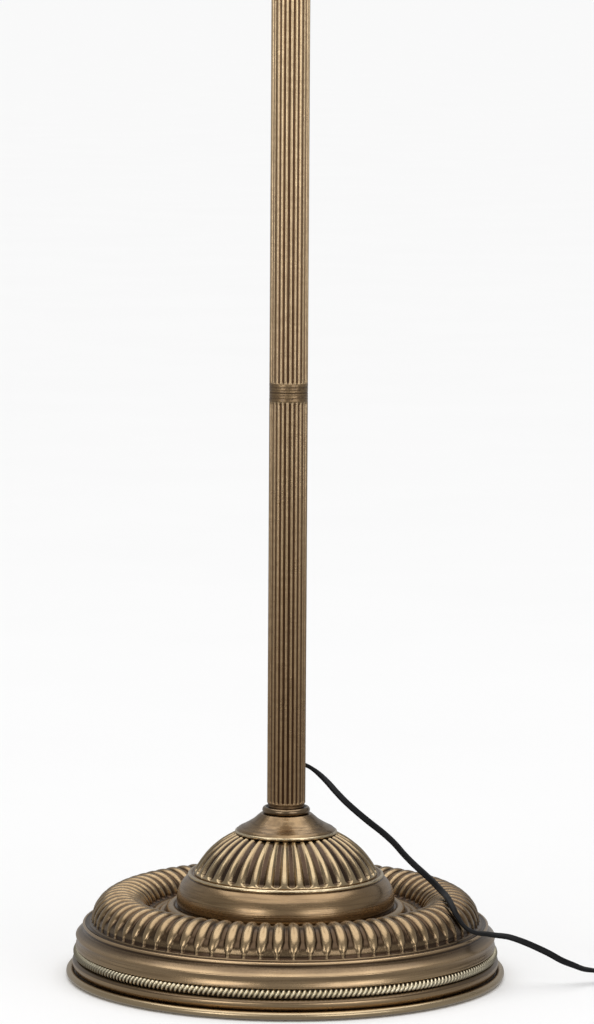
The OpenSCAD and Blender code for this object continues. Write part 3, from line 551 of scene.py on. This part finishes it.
band = lathe("dome_base_band", [(68.0, 44.8, 1), (69.4, 44.8, 1), (70.0, 47.0), (70.1, 50.0), (69.8, 53.0), (69.0, 56.0),
    (67.6, 59.0), (65.6, 61.8), (63.4, 63.9), (62.3, 64.6), (62.5, 65.4), (62.2, 66.2), (61.4, 66.8), (60.5, 66.7),
    (60.1, 66.0, 1), (57.0, 66.0, 1), (57.0, 64.6, 1), (61.0, 64.2), (64.4, 61.0), (67.6, 55.6), (68.7, 50.0), (68.0, 44.8, 1)],
    480, band_disp, step=0.45)
dress(band, M_SMOOTH, "stand", ["dome_band"])

FL = 36


def dome_disp(arc, th, r, z, w):
    """Raised ribs with crisp sides; the hollow between two closes in an arch at both ends."""
    run = np.clip((92.2 - z) / (92.2 - 66.8), 0, 1)
    u = np.abs(((th + TAU / 4) * FL / TAU + 0.08 + 0.5) % 1.0 - 0.5) * 2          # 0 on the rib
    bot = np.clip((z - 67.4) / 2.3, 0, 1)
    top = np.clip((92.9 - z) / 1.2, 0, 1)
    open_ = np.sqrt(np.clip(1 - (1 - bot) ** 2, 0, 1)) * np.sqrt(np.clip(1 - (1 - top) ** 2, 0, 1))
    ridge = 1 - (1 - (0.13 + 0.20 * run)) * open_
    v = np.clip((u - ridge) / np.maximum(1 - ridge, 1e-3), 0, 1) * (open_ > 0.02)
    hollow = sstep(0.0, 0.62, v) * (0.86 + 0.14 * np.sin(v * math.pi / 2))
    crown = 0.30 * np.clip(u / (0.25 + 0.15 * run), 0, 1) ** 2 * open_
    depth = 0.7 + 1.7 * run
    # painted shade: the last term darkens the dome towards the two sides on the X axis, standing in for the dimmer
    # light there; the rest is patina in the hollows
    return -(hollow * depth + crown) * w, np.clip(0.25 * sstep(0.04, 0.30, v) + 0.60 * sstep(0.15, 0.90, v) + 0.20 * sstep(0.35, 0.95, np.abs(np.cos(th))), 0, 1) * w


DOME = [(57.2, 66.0, 1, 0), (58.6, 66.0, 1, 0), (58.9, 67.0, 0, .2), (58.0, 69.4), (56.4, 72.2), (54.3, 75.2), (51.6, 78.6), (48.6, 81.8),
    (45.2, 84.8), (41.6, 87.6), (38.0, 89.8), (35.0, 91.4), (32.6, 92.45, 1, 1), (26.0, 92.6, 1, 0), (26.0, 90.0, 1, 0),
    (31.6, 89.2, 0, 0), (35.6, 87.0, 0, 0), (39.4, 84.2, 0, 0), (43.0, 81.2, 0, 0), (46.2, 78.0, 0, 0), (50.0, 74.0, 0, 0), (53.0, 70.6, 0, 0), (54.6, 68.0, 0, 0), (54.8, 66.0, 1, 0), (57.2, 66.0, 1, 0)]
dome = lathe("reeded_dome", DOME, FL * 32, dome_disp, step=0.5)
dress(dome, M_DOME, "stand", ["fluted_dome"])

cap = lathe("dome_crown", [(5.05, 105.4, 1), (16.0, 105.4), (16.8, 105.0), (17.6, 104.3), (18.5, 103.6), (19.8, 102.4), (21.6, 101.0),
    (23.8, 99.6), (26.4, 98.1), (28.6, 96.95), (29.7, 96.45, 1), (30.2, 96.2), (30.9, 95.7), (31.7, 94.8), (32.35, 93.8), (32.6, 93.1), (32.4, 92.6, 1),
    (28.4, 92.6, 1), (28.4, 95.6, 1), (25.4, 97.0), (20.4, 100.0), (16.8, 103.2), (15.6, 104.0, 1), (5.05, 104.0, 1), (5.05, 105.4, 1)][::-1], 300, step=0.4)
dress(cap, M_CAP, "stand", ["dome_cap"])



def bead_disp(arc, th, r, z, w):
    """Worn beading: nicks and dark specks."""
    g = speckle((len(r), th.shape[1]), 23, 5)
    return -0.05 * np.clip(g, 0, 2) * w, np.clip(g - 0.9, 0, 1) * 0.8 * w


def beading(name, r0, z0, rad, nseg):
    pts = [(r0 + rad * math.cos(a), z0 + rad * math.sin(a)) for a in np.radians(np.arange(-180, 181, 24))]
    return dress(lathe(name, pts, nseg, bead_disp, step=0.25), M_BEADING, "stand")


beading("crown_beading", 31.85, 93.75, 0.95, 240)
beading("dome_beading", 61.75, 65.7, 1.15, 420)

# painted shade: the inside of the ring's cup and its underside on the crown are given the near-black seat colour all
# round
ring = lathe("top_bead", [(5.05, 105.4, 1), (13.8, 105.4, 1), (14.8, 106.1), (15.3, 107.3), (15.2, 108.4), (14.6, 109.4), (13.7, 109.8),
    (12.9, 109.4), (12.6, 108.8, 1), (5.05, 108.8, 1), (5.05, 105.4, 1)], 200, step=0.3,
    cav=lambda r, z: np.where((r < 13.2) | (z < 106.0), 1.0, 0))
dress(ring, M_RING, "stand", ["top_ring"])

PR = 12.3
BR = 9.8
# painted shade: the bottom of the foot, down in the ring's cup, is given the groove colour all round
foot = lathe("pole_base", [(5.05, 108.8, 1), (11.1, 108.8, 1), (11.65, 109.3), (11.65, 111.3), (11.9, 111.6), (11.9, 112.2, 1), (9.75, 112.2, 1),
    (9.75, 124, 1), (5.05, 124, 1), (5.05, 108.8, 1)], 160, step=0.5, cav=lambda r, z: np.where(z < 109.8, 1.0, 0.25))
dress(foot, M_COLLAR, "stand", ["pole_foot"])


# ---------------------------------------------------------------- pole

def reeded(name, z0, z1, turn, hole=False):
    """Tube with 24 reeds. The grooves end in small arches at both ends. turn is where a reed
    lies, in degrees from the front: each tube screwed home where it did."""
    rows = sorted(set([z0, z1] + [z0 + d for d in (.3, .6, .9, 1.2, 1.5, 1.8, 2.2, 2.7)] + [z1 - d for d in (.3, .6, .9, 1.2, 1.5, 1.8, 2.2, 2.7)]
                      + list(np.linspace(z0 + 4, z1 - 4, 28)) + (list(np.arange(128, 141.1, 0.5)) if hole else [])))

    def disp(arc, th, r, z, w):
        u = np.abs(((th + TAU / 4 - math.radians(turn)) * 24 / TAU + 0.5) % 1.0 - 0.5) * 2            # 0 on the reed's crown
        end = np.minimum(z - z0, z1 - z) - 0.45
        arch = np.sqrt(np.clip(1 - (1 - np.clip(end / 1.25, 0, 1)) ** 2, 0, 1))
        ridge = 0.50
        v = np.clip((u - (1 - (1 - ridge) * arch)) / np.maximum((1 - ridge) * arch, 1e-3), 0, 1)
        hol = np.sin(v * math.pi / 2) ** 0.8 * (arch > 0.02)
        crown = 0.22 * np.clip(u / ridge, 0, 1) ** 2
        out = -(hol * 0.85 + crown) * w
        return out, np.clip(hol * 1.1, 0, 1) * w

    outer = [(PR, z, 1, 1.0) for z in rows]
    pts = [(BR, z0, 1, 0), (PR, z0, 1, 1)] + outer[1:-1] + [(PR, z1, 1, 1), (BR, z1, 1, 0), (BR, z0, 1, 0)]
    return lathe(name, pts, 24 * 16, disp, step=400.0)


seams = [110 + i * 266.5 for i in (1, 2, 3, 4)]
spans = [(112.2, seams[0] - 5.7), (seams[0] + 5.7, seams[1] - 5.7), (seams[1] + 5.7, seams[2] - 5.7), (seams[2] + 5.7, seams[3] - 5.7)]
for i, (z0, z1) in enumerate(spans):
    tube = reeded("reeded_tube_%d" % (i + 1), z0, z1, (-3.0, 5.2, 1.0, -6.0)[i], i == 0)
    dress(tube, M_POLE, "stand", ["pole_section_%d" % (i + 1)])


def collar_points(down):
    s = -1 if down else 1
    pts = [(5.05, 0, 1), (12.0, 0, 1), (12.25, 0.35 * s), (12.3, 1.35 * s, 1), (12.12, 1.6 * s), (12.3, 1.9 * s, 1), (12.3, 3.2 * s, 1), (12.14, 3.5 * s),
           (12.3, 3.8 * s, 1), (12.3, 5.7 * s, 1), (9.75, 5.7 * s, 1), (9.75, 15.7 * s, 1), (5.05, 15.7 * s, 1), (5.05, 0, 1)]
    return pts


def collar_disp(arc, th, r, z, w):
    """Faint tool marks and blotches of tarnish."""
    on = np.where(r > 11.8, 1.0, 0.0)
    g = speckle((len(r), th.shape[1]), 5, 9)
    big = np.sin(th * 9 + z * 0.9 + 1.0) * np.sin(th * 14 - z * 1.3)
    return -0.02 * np.clip(g, -1, 2) * on, np.clip(0.18 * g + 0.22 * big + 0.12, 0, 0.6) * on


COLLARS = []
for i in range(4):
    for down in (True, False):
        if i == 3 and not down:
            continue
        c = lathe("joint_collar_%d_%s" % (i + 1, "low" if down else "high"), collar_points(down)[::(1 if not down else 1)], 288, collar_disp, step=0.5, dz=seams[i],
                  cav=lambda r, z: np.where(abs(z) < 0.45, 0.95, np.where((abs(abs(z) - 1.6) < 0.3) | (abs(abs(z) - 3.5) < 0.3), 0.22, 0.05)))
        dress(c, M_COLLAR, "stand", ["pole_ferrules"] if not COLLARS else ())
        COLLARS.append(c)

# ---------------------------------------------------------------- head

HZ = seams[3]
CF = HZ + 36
RZ = CF + 14.1
GLOB_R = 112.0
GLASS_R = GLOB_R - 2.45 - 0.05
GZC = RZ + 13.9 + math.sqrt(GLASS_R**2 - 45.2**2)
CAPZ = GZC + GLOB_R

knop = lathe("neck_turning", [(5.05, 0, 1), (12.0, 0, 1), (13.2, 0.7), (13.6, 2.0), (13.0, 3.2), (11.4, 4.2), (11.0, 5.6), (12.6, 7.6), (15.6, 10.4),
    (18.4, 13.8), (19.8, 17.4), (20.0, 20.4), (19.0, 23.6), (16.8, 26.4), (14.0, 28.6), (12.0, 30.0), (11.6, 31.2), (12.4, 32.2), (14.6, 33.4),
    (16.4, 34.8), (16.8, 36.0, 1), (5.05, 36.0, 1), (5.05, 0, 1)], 256, step=0.5, dz=HZ)
dress(knop, M_HEAD, "stand", ["neck_knop"])


def cup_disp(arc, th, r, z, w):
    u = np.abs((th * 40 / TAU) % 1.0 - 0.5) * 2
    on = sstep(24, 30, r) * (1 - sstep(45.5, 48.5, r)) * w
    return -(1 - np.cos(u * math.pi / 2) ** 0.8) * 0.8 * on, (u ** 3) * 0.9 * on


cup = lathe("gallery", [(5.05, 0, 1), (17.2, 0, 1), (24.0, 1.2), (31.0, 3.4), (37.4, 6.2), (43.0, 9.4), (47.4, 12.2), (49.4, 15.2), (50.4, 18.4),
    (51.2, 22.2), (51.9, 25.2), (52.8, 26.4), (53.0, 27.6), (52.2, 28.5), (51.0, 28.4), (50.2, 27.4), (48.8, 23.6, 0, 0), (47.1, 20.4, 0, 0), (47.1, 14.0, 1, 0),
    (40.6, 14.0, 1, 0), (39.8, 10.6, 0, 0), (36.2, 8.2, 0, 0), (30.4, 5.4, 0, 0), (23.6, 2.9, 0, 0), (17.0, 1.7, 0, 0), (5.05, 1.6, 1, 0), (5.05, 0, 1, 0)], 40 * 12, cup_disp, step=0.6, dz=CF)
dress(cup, M_HEAD, "stand", ["gallery_cup"])

gring = lathe("globe_collar", [(41.4, 0, 1), (46.0, 0, 1), (46.5, 0.5), (46.5, 13.2), (46.0, 13.7), (45.3, 13.7, 1), (45.3, 1.4, 1), (41.4, 1.4, 1), (41.4, 0, 1)], 256, step=0.6, dz=RZ)
dress(gring, M_HEAD, "globe", ["globe_ring"])

gcap = lathe("globe_crown", [(23.7, 0.05, 1), (25.0, 0), (25.6, 0.9), (25.0, 1.9), (22.6, 3.2), (18.8, 4.8), (15.0, 7.0), (12.4, 9.8), (11.0, 12.8), (11.4, 14.0),
    (11.4, 15.2), (10.6, 16.0, 1), (3.2, 16.0, 1), (3.2, 14.6, 1), (9.4, 14.6, 1), (9.6, 12.4), (11.0, 8.9), (13.8, 5.8), (17.8, 3.4), (21.6, 1.8), (23.5, 0.8), (23.7, 0.05, 1)], 220, step=0.5, dz=CAPZ - 2.5)
dress(gcap, M_HEAD, "globe", ["globe_cap"])

fin = lathe("finial_turning", [(3.05, 0, 1), (8.6, 0, 1), (9.2, 0.9), (8.6, 1.9), (6.4, 3.0), (5.2, 4.8), (5.6, 6.6), (8.0, 8.6), (10.8, 11.6), (12.2, 15.4),
    (12.2, 19.2), (10.8, 23.2), (8.2, 26.8), (5.4, 29.8), (3.6, 32.6), (2.6, 35.4), (2.9, 37.0), (2.4, 38.8), (1.2, 40.0), (0.03, 40.3, 1), (0.03, 10, 1), (3.05, 10, 1), (3.05, 0, 1)], 200, step=0.5, dz=CAPZ + 13.5)
dress(fin, M_HEAD, "globe", ["finial"])


# ---------------------------------------------------------------- mosaic

class Tiles:
    """Small bevelled tiles and beads set on the sphere, gathered into one mesh."""

    def __init__(self):
        self.v, self.f, self.c, self.n = [], [], [], 0

    def frame(self, lon, lat):
        """Outward, east and north at a place on the sphere (radians)."""
        o = np.array([math.cos(lat) * math.cos(lon), math.cos(lat) * math.sin(lon), math.sin(lat)])
        e = np.array([-math.sin(lon), math.cos(lon), 0.0])
        return o, e, np.cross(o, e)

    def tile(self, lon, lat, poly, col, turn=0.0, h=1.0, bevel=0.45):
        """poly is in mm about its own middle, +x east and +y north."""
        o, e, nn = self.frame(lon, lat)
        p = np.array(poly, float)
        if np.sum(p[:, 0] * np.roll(p[:, 1], -1) - np.roll(p[:, 0], -1) * p[:, 1]) < 0:
            p = p[::-1]
        ct, st = math.cos(turn), math.sin(turn)
        p = p @ np.array([[ct, st], [-st, ct]])
        mid = p.mean(0)
        size = max(np.linalg.norm(p - mid, axis=1).min(), 0.4)
        base_r = GLASS_R + 0.55
        rows = []
        for k, (sc, rise) in enumerate(((1.0, 0.0), (1.0, h * 0.62), (1 - bevel / size * 0.6, h * 0.92), (1 - bevel / size * 1.3 if size > bevel * 1.6 else 0.35, h))):
            q = mid + (p - mid) * sc
            w = o * base_r + q[:, :1] * e + q[:, 1:] * nn
            w = w / np.linalg.norm(w, axis=1)[:, None] * (base_r + rise)
            rows.append(w)
        k = len(p)
        V = np.vstack(rows)
        F = []
        for r in range(3):
            for i in range(k):
                j = (i + 1) % k
                F.append((r * k + i, r * k + j, (r + 1) * k + j, (r + 1) * k + i))
        F.append(tuple(3 * k + i for i in range(k)))
        F.append(tuple(range(k - 1, -1, -1)))
        self.v.append(V)
        self.f += [tuple(i + self.n for i in f) for f in F]
        self.c.append(np.tile(col, (len(V), 1)))
        self.n += len(V)

    def bead(self, lon, lat, r, col, seg=10, rings=4):
        o, e, nn = self.frame(lon, lat)
        c = o * (GLASS_R + 0.75)
        V, F = [], []
        for k in range(rings):
            a = k / rings * math.pi / 2
            for i in range(seg):
                b = i / seg * TAU
                V.append(c + r * math.cos(a) * (math.cos(b) * e + math.sin(b) * nn) + min(r, 1.6) * math.sin(a) * o)
        V.append(c + min(r, 1.6) * o)
        for k in range(rings - 1):
            for i in range(seg):
                j = (i + 1) % seg
                F.append((k * seg + i, k * seg + j, (k + 1) * seg + j, (k + 1) * seg + i))
        t = rings * seg
        for i in range(seg):
            F.append(((rings - 1) * seg + i, (rings - 1) * seg + (i + 1) % seg, t))
        F.append(tuple(range(seg - 1, -1, -1)))
        self.v.append(np.array(V))
        self.f += [tuple(i + self.n for i in f) for f in F]
        self.c.append(np.tile(col, (len(V), 1)))
        self.n += len(V)

    def make(self, name):
        V = np.vstack(self.v)
        V[:, 2] += GZC
        return add_mesh(name, V, self.f, {"tint": np.vstack(self.c)}, smooth=False)


rng = np.random.default_rng(7)
BLUE, TURQ, RED, AMBER = (0.008, 0.035, 0.33), (0.008, 0.24, 0.33), (0.40, 0.008, 0.012), (0.72, 0.22, 0.010)
GREEN, WHITE = (0.012, 0.17, 0.045), (0.66, 0.69, 0.66)


def vary(c, s=0.16):
    return np.clip(np.array(c) * (1 + rng.uniform(-s, s)), 0, 1)


T = Tiles()
B = Tiles()
R0 = GLASS_R + 0.55


def beads_ring(lat_deg, r, col, gap=0.35):
    lat = math.radians(lat_deg)
    n = int(TAU * R0 * math.cos(lat) / (2 * r + gap))
    for i in range(n):
        B.bead((i + 0.5) / n * TAU, lat, r, vary(col, 0.10))


def rect(w, h):
    return [(-w / 2, -h / 2), (w / 2, -h / 2), (w / 2, h / 2), (-w / 2, h / 2)]


def squares(lat_deg, size, cols, gap=0.6, start=0):
    lat = math.radians(lat_deg)
    n = int(TAU * R0 * math.cos(lat) / (size + gap))
    n -= n % len(cols)
    w = TAU * R0 * math.cos(lat) / n - gap
    for i in range(n):
        T.tile((i + 0.5) / n * TAU, lat, rect(w, size), vary(cols[(i + start) % len(cols)]))


def triangles(lat_deg, h, n, up, down, gap=0.7):
    lat = math.radians(lat_deg)
    w = TAU * R0 * math.cos(lat) / n
    for i in range(n):
        T.tile(i / n * TAU, lat, [(-w / 2 + gap, -h / 2), (w / 2 - gap, -h / 2), (0, h / 2 - gap * 0.6)], vary(up))
        T.tile((i + 0.5) / n * TAU, lat, [(-w / 2 + gap, h / 2), (w / 2 - gap, h / 2), (0, -h / 2 + gap * 0.6)], vary(down))


deg = 180 / math.pi / R0        # degrees of latitude per mm
# the belt of eight rosettes
for i in range(8):
    lon = i / 8 * TAU
    main, petal = (RED, AMBER) if i % 2 else (BLUE, TURQ)
    T.tile(lon, 0, [(5.4 * math.cos(a), 5.4 * math.sin(a)) for a in np.arange(16) / 16 * TAU], vary(main if i % 2 else AMBER), h=1.5, bevel=0.9)
    for k in range(14):
        a = k / 14 * TAU
        B.bead(lon + 7.2 * math.cos(a) / R0, 7.2 * math.sin(a) / R0, 1.15, vary(WHITE, 0.05))
    for k in range(8):
        a = (k + 0.5) / 8 * TAU
        kite = [(9.2, 0), (14.6, 4.2), (22.0, 0), (14.6, -4.2)]
        c, s = math.cos(a), math.sin(a)
        mid = (15.0 * c, 15.0 * s)
        T.tile(lon + mid[0] / R0, mid[1] / R0, [(x - 15.0, y) for x, y in kite], vary(petal), turn=a)
    for k in range(8):
        a = k / 8 * TAU
        dart = [(10.0, 0), (14.2, 1.4), (20.6, 3.9), (20.6, -3.9), (14.2, -1.4)]
        c, s = math.cos(a), math.sin(a)
        T.tile(lon + 16 * c / R0, 16 * s / R0, [(x - 16, y) for x, y in dart], vary(main), turn=a)
    for k in range(40):
        a = k / 40 * TAU
        B.bead(lon + 24.2 * math.cos(a) / R0, 24.2 * math.sin(a) / R0, 1.35, vary(AMBER if i % 2 == 0 else TURQ, 0.08))
    for k in range(32):
        a = (k + 0.5) / 32 * TAU
        T.tile(lon + 28.4 * math.cos(a) / R0, 28.4 * math.sin(a) / R0, rect(4.4, 4.6), vary(WHITE if k % 2 else main), turn=a)
    # lozenges in the gaps between neighbours
    for s in (-1, 1):
        T.tile(lon + TAU / 16, s * 24.5 / R0, [(0, -9.0), (6.6, 0), (0, 9.0), (-6.6, 0)], vary(GREEN))
        for dx in (-1, 1):
            T.tile(lon + TAU / 16 + dx * 8.7 / R0, s * 29.6 / R0, [(-3.9, -2.6), (3.9, -2.6), (0, 4.2)] if s > 0 else [(-3.9, 2.6), (3.9, 2.6), (0, -4.2)], vary(AMBER))

# small chips fill the ground of the belt, round the rosettes and lozenges
for row in range(-6, 7):
    y = row * 5.1
    n = int(TAU * R0 * math.cos(y / R0) / 5.15)
    n -= n % 8
    for k in range(n):
        lon = (k + 0.5 * (row % 2)) / n * TAU
        d = ((lon + TAU / 16) % (TAU / 8) - TAU / 16) * R0
        e = (lon % (TAU / 8) - TAU / 16) * R0
        if math.hypot(d, y) < 33.6 or abs(e) / 9.8 + abs(abs(y) - 24.5) / 13.0 < 1:
            continue
        if abs(abs(e) - 8.7) < 6.0 and abs(abs(y) - 29.6) < 6.2:
            continue
        pick = (TURQ, TURQ, BLUE, WHITE)[int(rng.integers(0, 4))]
        T.tile(lon + rng.uniform(-0.2, 0.2) / R0, y / R0, rect(4.1 + rng.uniform(-0.3, 0.1), 4.1 + rng.uniform(-0.3, 0.1)), vary(pick), turn=rng.uniform(-0.16, 0.16), h=0.9)

lat = 34.6 * deg
for s in (1, -1):
    L = s * lat
    beads_ring(L, 1.35, WHITE)
    squares(L + s * 4.0 * deg, 5.0, (BLUE, TURQ))
    beads_ring(L + s * 8.0 * deg, 1.35, AMBER)
    triangles(L + s * 15.0 * deg, 11.0, 40 if s > 0 else 40, RED if s > 0 else AMBER, AMBER if s > 0 else RED)
    beads_ring(L + s * 22.2 * deg, 1.35, TURQ)
    squares(L + s * 26.2 * deg, 5.0, (WHITE, BLUE, RED, BLUE))
    beads_ring(L + s * 30.2 * deg, 1.35, AMBER)
    triangles(L + s * 37.4 * deg, 11.0, 32, TURQ if s > 0 else BLUE, BLUE if s > 0 else TURQ)
    beads_ring(L + s * 44.6 * deg, 1.35, WHITE)
    squares(L + s * 48.6 * deg, 5.0, (GREEN, AMBER))
for off in (52.8, 57.6, 62.4, 67.2, 72.0):
    L = lat + off * deg
    if off in (52.8, 62.4, 72.0):
        beads_ring(L, 1.35, AMBER if off != 62.4 else WHITE)
    else:
        squares(L, 5.6, (BLUE, TURQ) if off < 60 else (RED, AMBER))
for off in (76.2, 81.0, 85.6, 90.2, 94.8, 99.4, 104.0, 108.6):
    L = lat + off * deg
    if math.cos(math.radians(L)) * R0 > 23.5:
        squares(L, 4.2, (TURQ, WHITE))
for off in (52.6, 61.0, 69.4, 77.8):
    beads_ring(-(lat + off * deg), 1.35, RED if off < 65 else AMBER)
for off in (56.8, 65.2, 73.6):
    squares(-(lat + off * deg), 5.0, (WHITE, TURQ) if off < 60 else (BLUE, AMBER) if off < 70 else (TURQ, RED))

tiles = T.make("mosaic_tesserae")
beads = B.make("mosaic_beads")


def tile_material(name, rough, dots):
    m = Mat(name)
    tint = m.attr("tint").outputs["Color"]
    n = m.noise(m.coords(), 260.0, 3.0, 0.6)
    cells = m.noise(m.coords(), 900.0, 2.0, 0.6)
    col = m.mix(m.remap(n, 0.3, 0.7, 0.0, 0.35), tint, (0.95, 0.95, 0.92), "MULTIPLY")
    m.link(m.mix(m.remap(cells, 0.45, 0.75, 0.0, 0.12), col, (1.0, 0.95, 0.85)), m.b.inputs["Base Color"])
    m.link(m.remap(n, 0.3, 0.7, rough, rough + 0.10), m.b.inputs["Roughness"])
    m.link(m.bump(n, dots, 0.0006), m.b.inputs["Normal"])
    m.put(Coat_Weight=0.6, Coat_Roughness=0.06, Specular_IOR_Level=0.6)
    return m.m


M_TILE = tile_material("tessera_glass", 0.10, 0.16)
M_BEAD = tile_material("bead_glass", 0.08, 0.05)
dress(tiles, M_TILE, "globe", ["mosaic_tiles"])
beads.data.polygons.foreach_set("use_smooth", [True] * len(beads.data.polygons))
dress(beads, M_BEAD, "globe")

# grout between the tiles, as a shell just under their faces
cutz = -math.sqrt(GLOB_R**2 - 53.0**2)
g_lo = math.degrees(math.asin(cutz / GLOB_R))
g_hi = math.degrees(math.acos(21.6 / (GLASS_R + 1.2)))
outer = [((GLASS_R + 1.25) * math.cos(math.radians(a)), (GLASS_R + 1.25) * math.sin(math.radians(a)), 0, 1) for a in np.linspace(g_lo, g_hi, 60)]
inner = [((GLASS_R + 0.06) * math.cos(math.radians(a)), (GLASS_R + 0.06) * math.sin(math.radians(a)), 0, 0) for a in np.linspace(g_hi, g_lo, 50)]
outer[0] = outer[0][:2] + (1, 1)
outer[-1] = outer[-1][:2] + (1, 1)
inner[0] = inner[0][:2] + (1, 0)
inner[-1] = inner[-1][:2] + (1, 0)


def grout_disp(arc, th, r, z, w):
    a = 0.10 * np.sin(th * 83 + np.sin(z * 0.9) * 2) * np.sin(z * 1.7 + 1.3 * np.sin(th * 31))
    return a * w, np.zeros_like(a)


grout = lathe("mosaic_grout", outer + inner + [outer[0]], 480, grout_disp, step=2.0, dz=GZC)
GROUT = plain("grout", (0.30, 0.265, 0.21), 0.85, 0.0, (0.19, 0.165, 0.13), 700, 0.5, 0.0006, spec=0.2)
dress(grout, GROUT, "globe")


def glass_material(name, col, rough=0.03):
    m = Mat(name)
    n = m.noise(m.coords(), 30.0, 2.0, 0.5)
    m.link(m.mix(m.remap(n, 0.3, 0.7, 0.0, 1.0), col, tuple(c * 0.96 for c in col)), m.b.inputs["Base Color"])
    m.link(m.bump(n, 0.03, 0.001), m.b.inputs["Normal"])
    m.put(Roughness=rough, IOR=1.45, Transmission_Weight=1.0)
    return m.m


CLEAR = glass_material("clear_glass", (0.94, 0.96, 0.95))
BULB = glass_material("bulb_clear", (0.97, 0.95, 0.90), 0.02)

# ---------------------------------------------------------------- switch, plug and tie

def soften(ob, width, seg=3, angle=32):
    """Rounded edges on a piece that was left as the construction made it."""
    w = ob.modifiers.new("weld", "WELD")
    w.merge_threshold = 1e-5
    b = ob.modifiers.new("round", "BEVEL")
    b.width = width * MM
    b.segments = seg
    b.limit_method = "ANGLE"
    b.angle_limit = math.radians(angle)
    b.harden_normals = False


def paint(node, mat, slot=None):
    ob = N[node]
    ob.data.materials.clear()
    ob.data.materials.append(mat)
    return ob


for n_ in ("tie_rod", "base_washer", "base_nut", "pole_nipples", "head_nipple", "holder_nut", "cap_stud", "cap_washer", "cap_nut", "switch_pin", "switch_screws"):
    paint(n_, STEEL)
paint("ballast_weight", CAST)
paint("base_pad", FELT)
paint("cord_bushing", BLACK_SOFT)
paint("supply_cable", plain("inner_cable", (0.03, 0.03, 0.032), 0.45, 0.0, None, 800))
for n_ in ("holder_base", "holder_body"):
    paint(n_, BLACK)
paint("holder_insulator", CERAMIC)
for n_ in ("thread_shell", "centre_contact", "switch_contacts"):
    paint(n_, CONTACT)
paint("bulb_cap", NICKEL)
paint("plug_pins", NICKEL)
paint("bulb_glass", BULB)
paint("bulb_filament", PHOSPHOR)
paint("globe_glass", CLEAR)
for n_ in ("switch_lower", "switch_upper", "switch_rocker", "switch_reliefs", "plug_body", "plug_relief", "coil_tie"):
    paint(n_, BLACK_SOFT if n_ not in ("switch_rocker",) else BLACK)
soften(N["switch_lower"], 0.5)
soften(N["switch_upper"], 0.7)
soften(N["switch_rocker"], 0.4)
soften(N["plug_body"], 1.0)


def coil_strap():
    """Flat tie drawn close round the turns of the coil, where the CAD has a stiff loop."""
    near = path_b[(np.abs(path_b[:, 1] - COIL_AT[1]) < 3.0) & (path_b[:, 0] < COIL_AT[0])]
    x0, x1 = near[:, 0].min() - FLEX_W / 2 - 0.25, near[:, 0].max() + FLEX_W / 2 + 0.25
    z0, z1 = 0.2, near[:, 2].max() + 2.05
    rad = 1.5
    pts = []
    for k, (cx, cz) in enumerate(((x1 - rad, z1 - rad), (x0 + rad, z1 - rad), (x0 + rad, z0 + rad), (x1 - rad, z0 + rad))):
        for a in np.radians(np.arange(90 * k, 90 * k + 91, 15)):
            c, d = math.cos(a), math.sin(a)
            pts.append(((cx + rad * c, cz + rad * d), (cx + (rad + 0.7) * c, max(0.0, cz + (rad + 0.7) * d))))
    V, F, n = [], [], len(pts)
    for (ix, iz), (ox, oz) in pts:
        V += [(ix, COIL_AT[1] - 3, iz), (ix, COIL_AT[1] + 3, iz), (ox, COIL_AT[1] + 3, oz), (ox, COIL_AT[1] - 3, oz)]
    for i in range(n):
        for j in range(4):
            a, b = i * 4, (i + 1) % n * 4
            F.append((a + j, b + j, b + (j + 1) % 4, a + (j + 1) % 4))
    ob = add_mesh("coil_strap", V, F)
    soften(ob, 0.12, 2, 50)
    return dress(ob, BLACK_SOFT, "stand", ["coil_tie"])


strap = coil_strap()

# ---------------------------------------------------------------- floor and light

def floor():
    """One level pale floor, wide enough to reach past the frame's top edge."""
    s = np.array([-1500, -200, -30, -6, 6, 30, 200, 1500], float)
    k = len(s)
    V = [(x, y, 0.0) for y in s for x in s]
    F = [(j * k + i, j * k + i + 1, (j + 1) * k + i + 1, (j + 1) * k + i) for j in range(k - 1) for i in range(k - 1)]
    ob = add_mesh("floor", V, F, mm=False)
    m = Mat("pale_floor")
    n = m.noise(m.coords(), 3.0, 3.0, 0.6)
    m.link(m.mix(m.remap(n, 0.3, 0.7, 0.0, 1.0), (0.91, 0.91, 0.91), (0.90, 0.90, 0.90)), m.b.inputs["Base Color"])
    m.put(Roughness=0.95, Specular_IOR_Level=0.0)
    ob.data.materials.append(m.m)
    ob.visible_glossy = False          # the brass mirrors the dim room, not a glaring floor


floor()


def lamp(name, kind, loc, aim, power, col=(1, 1, 1), **props):
    d = bpy.data.lights.new(name, kind)
    d.energy = power
    d.color = col
    for key, val in props.items():
        setattr(d, key, val)
    o = bpy.data.objects.new(name, d)
    o.location = loc
    o.rotation_euler = (Vector(aim) - Vector(loc)).to_track_quat("-Z", "Y").to_euler()
    o.visible_camera = False
    bpy.context.scene.collection.objects.link(o)
    return o


# two upright softboxes beside the camera, and even light from above that reaches the whole floor
lamp("softbox_left", "AREA", (-1.68, -2.40, 0.66), (0, 0, 0.30), 17.0, shape="RECTANGLE", size=1.45, size_y=1.3)
lamp("softbox_right", "AREA", (1.68, -2.40, 0.66), (0, 0, 0.30), 17.4, shape="RECTANGLE", size=1.85, size_y=1.3)
lamp("ceiling", "SUN", (0, 0, 4), (0, 0, 0), 2.1, angle=math.radians(80))

world = bpy.data.worlds.new("studio")
world.use_nodes = True
bg = world.node_tree.nodes["Background"]
bg.inputs[0].default_value = (1.0, 1.0, 1.0, 1.0)
bg.inputs[1].default_value = 0.38
bpy.context.scene.world = world
bpy.context.scene.view_settings.view_transform = "Standard"
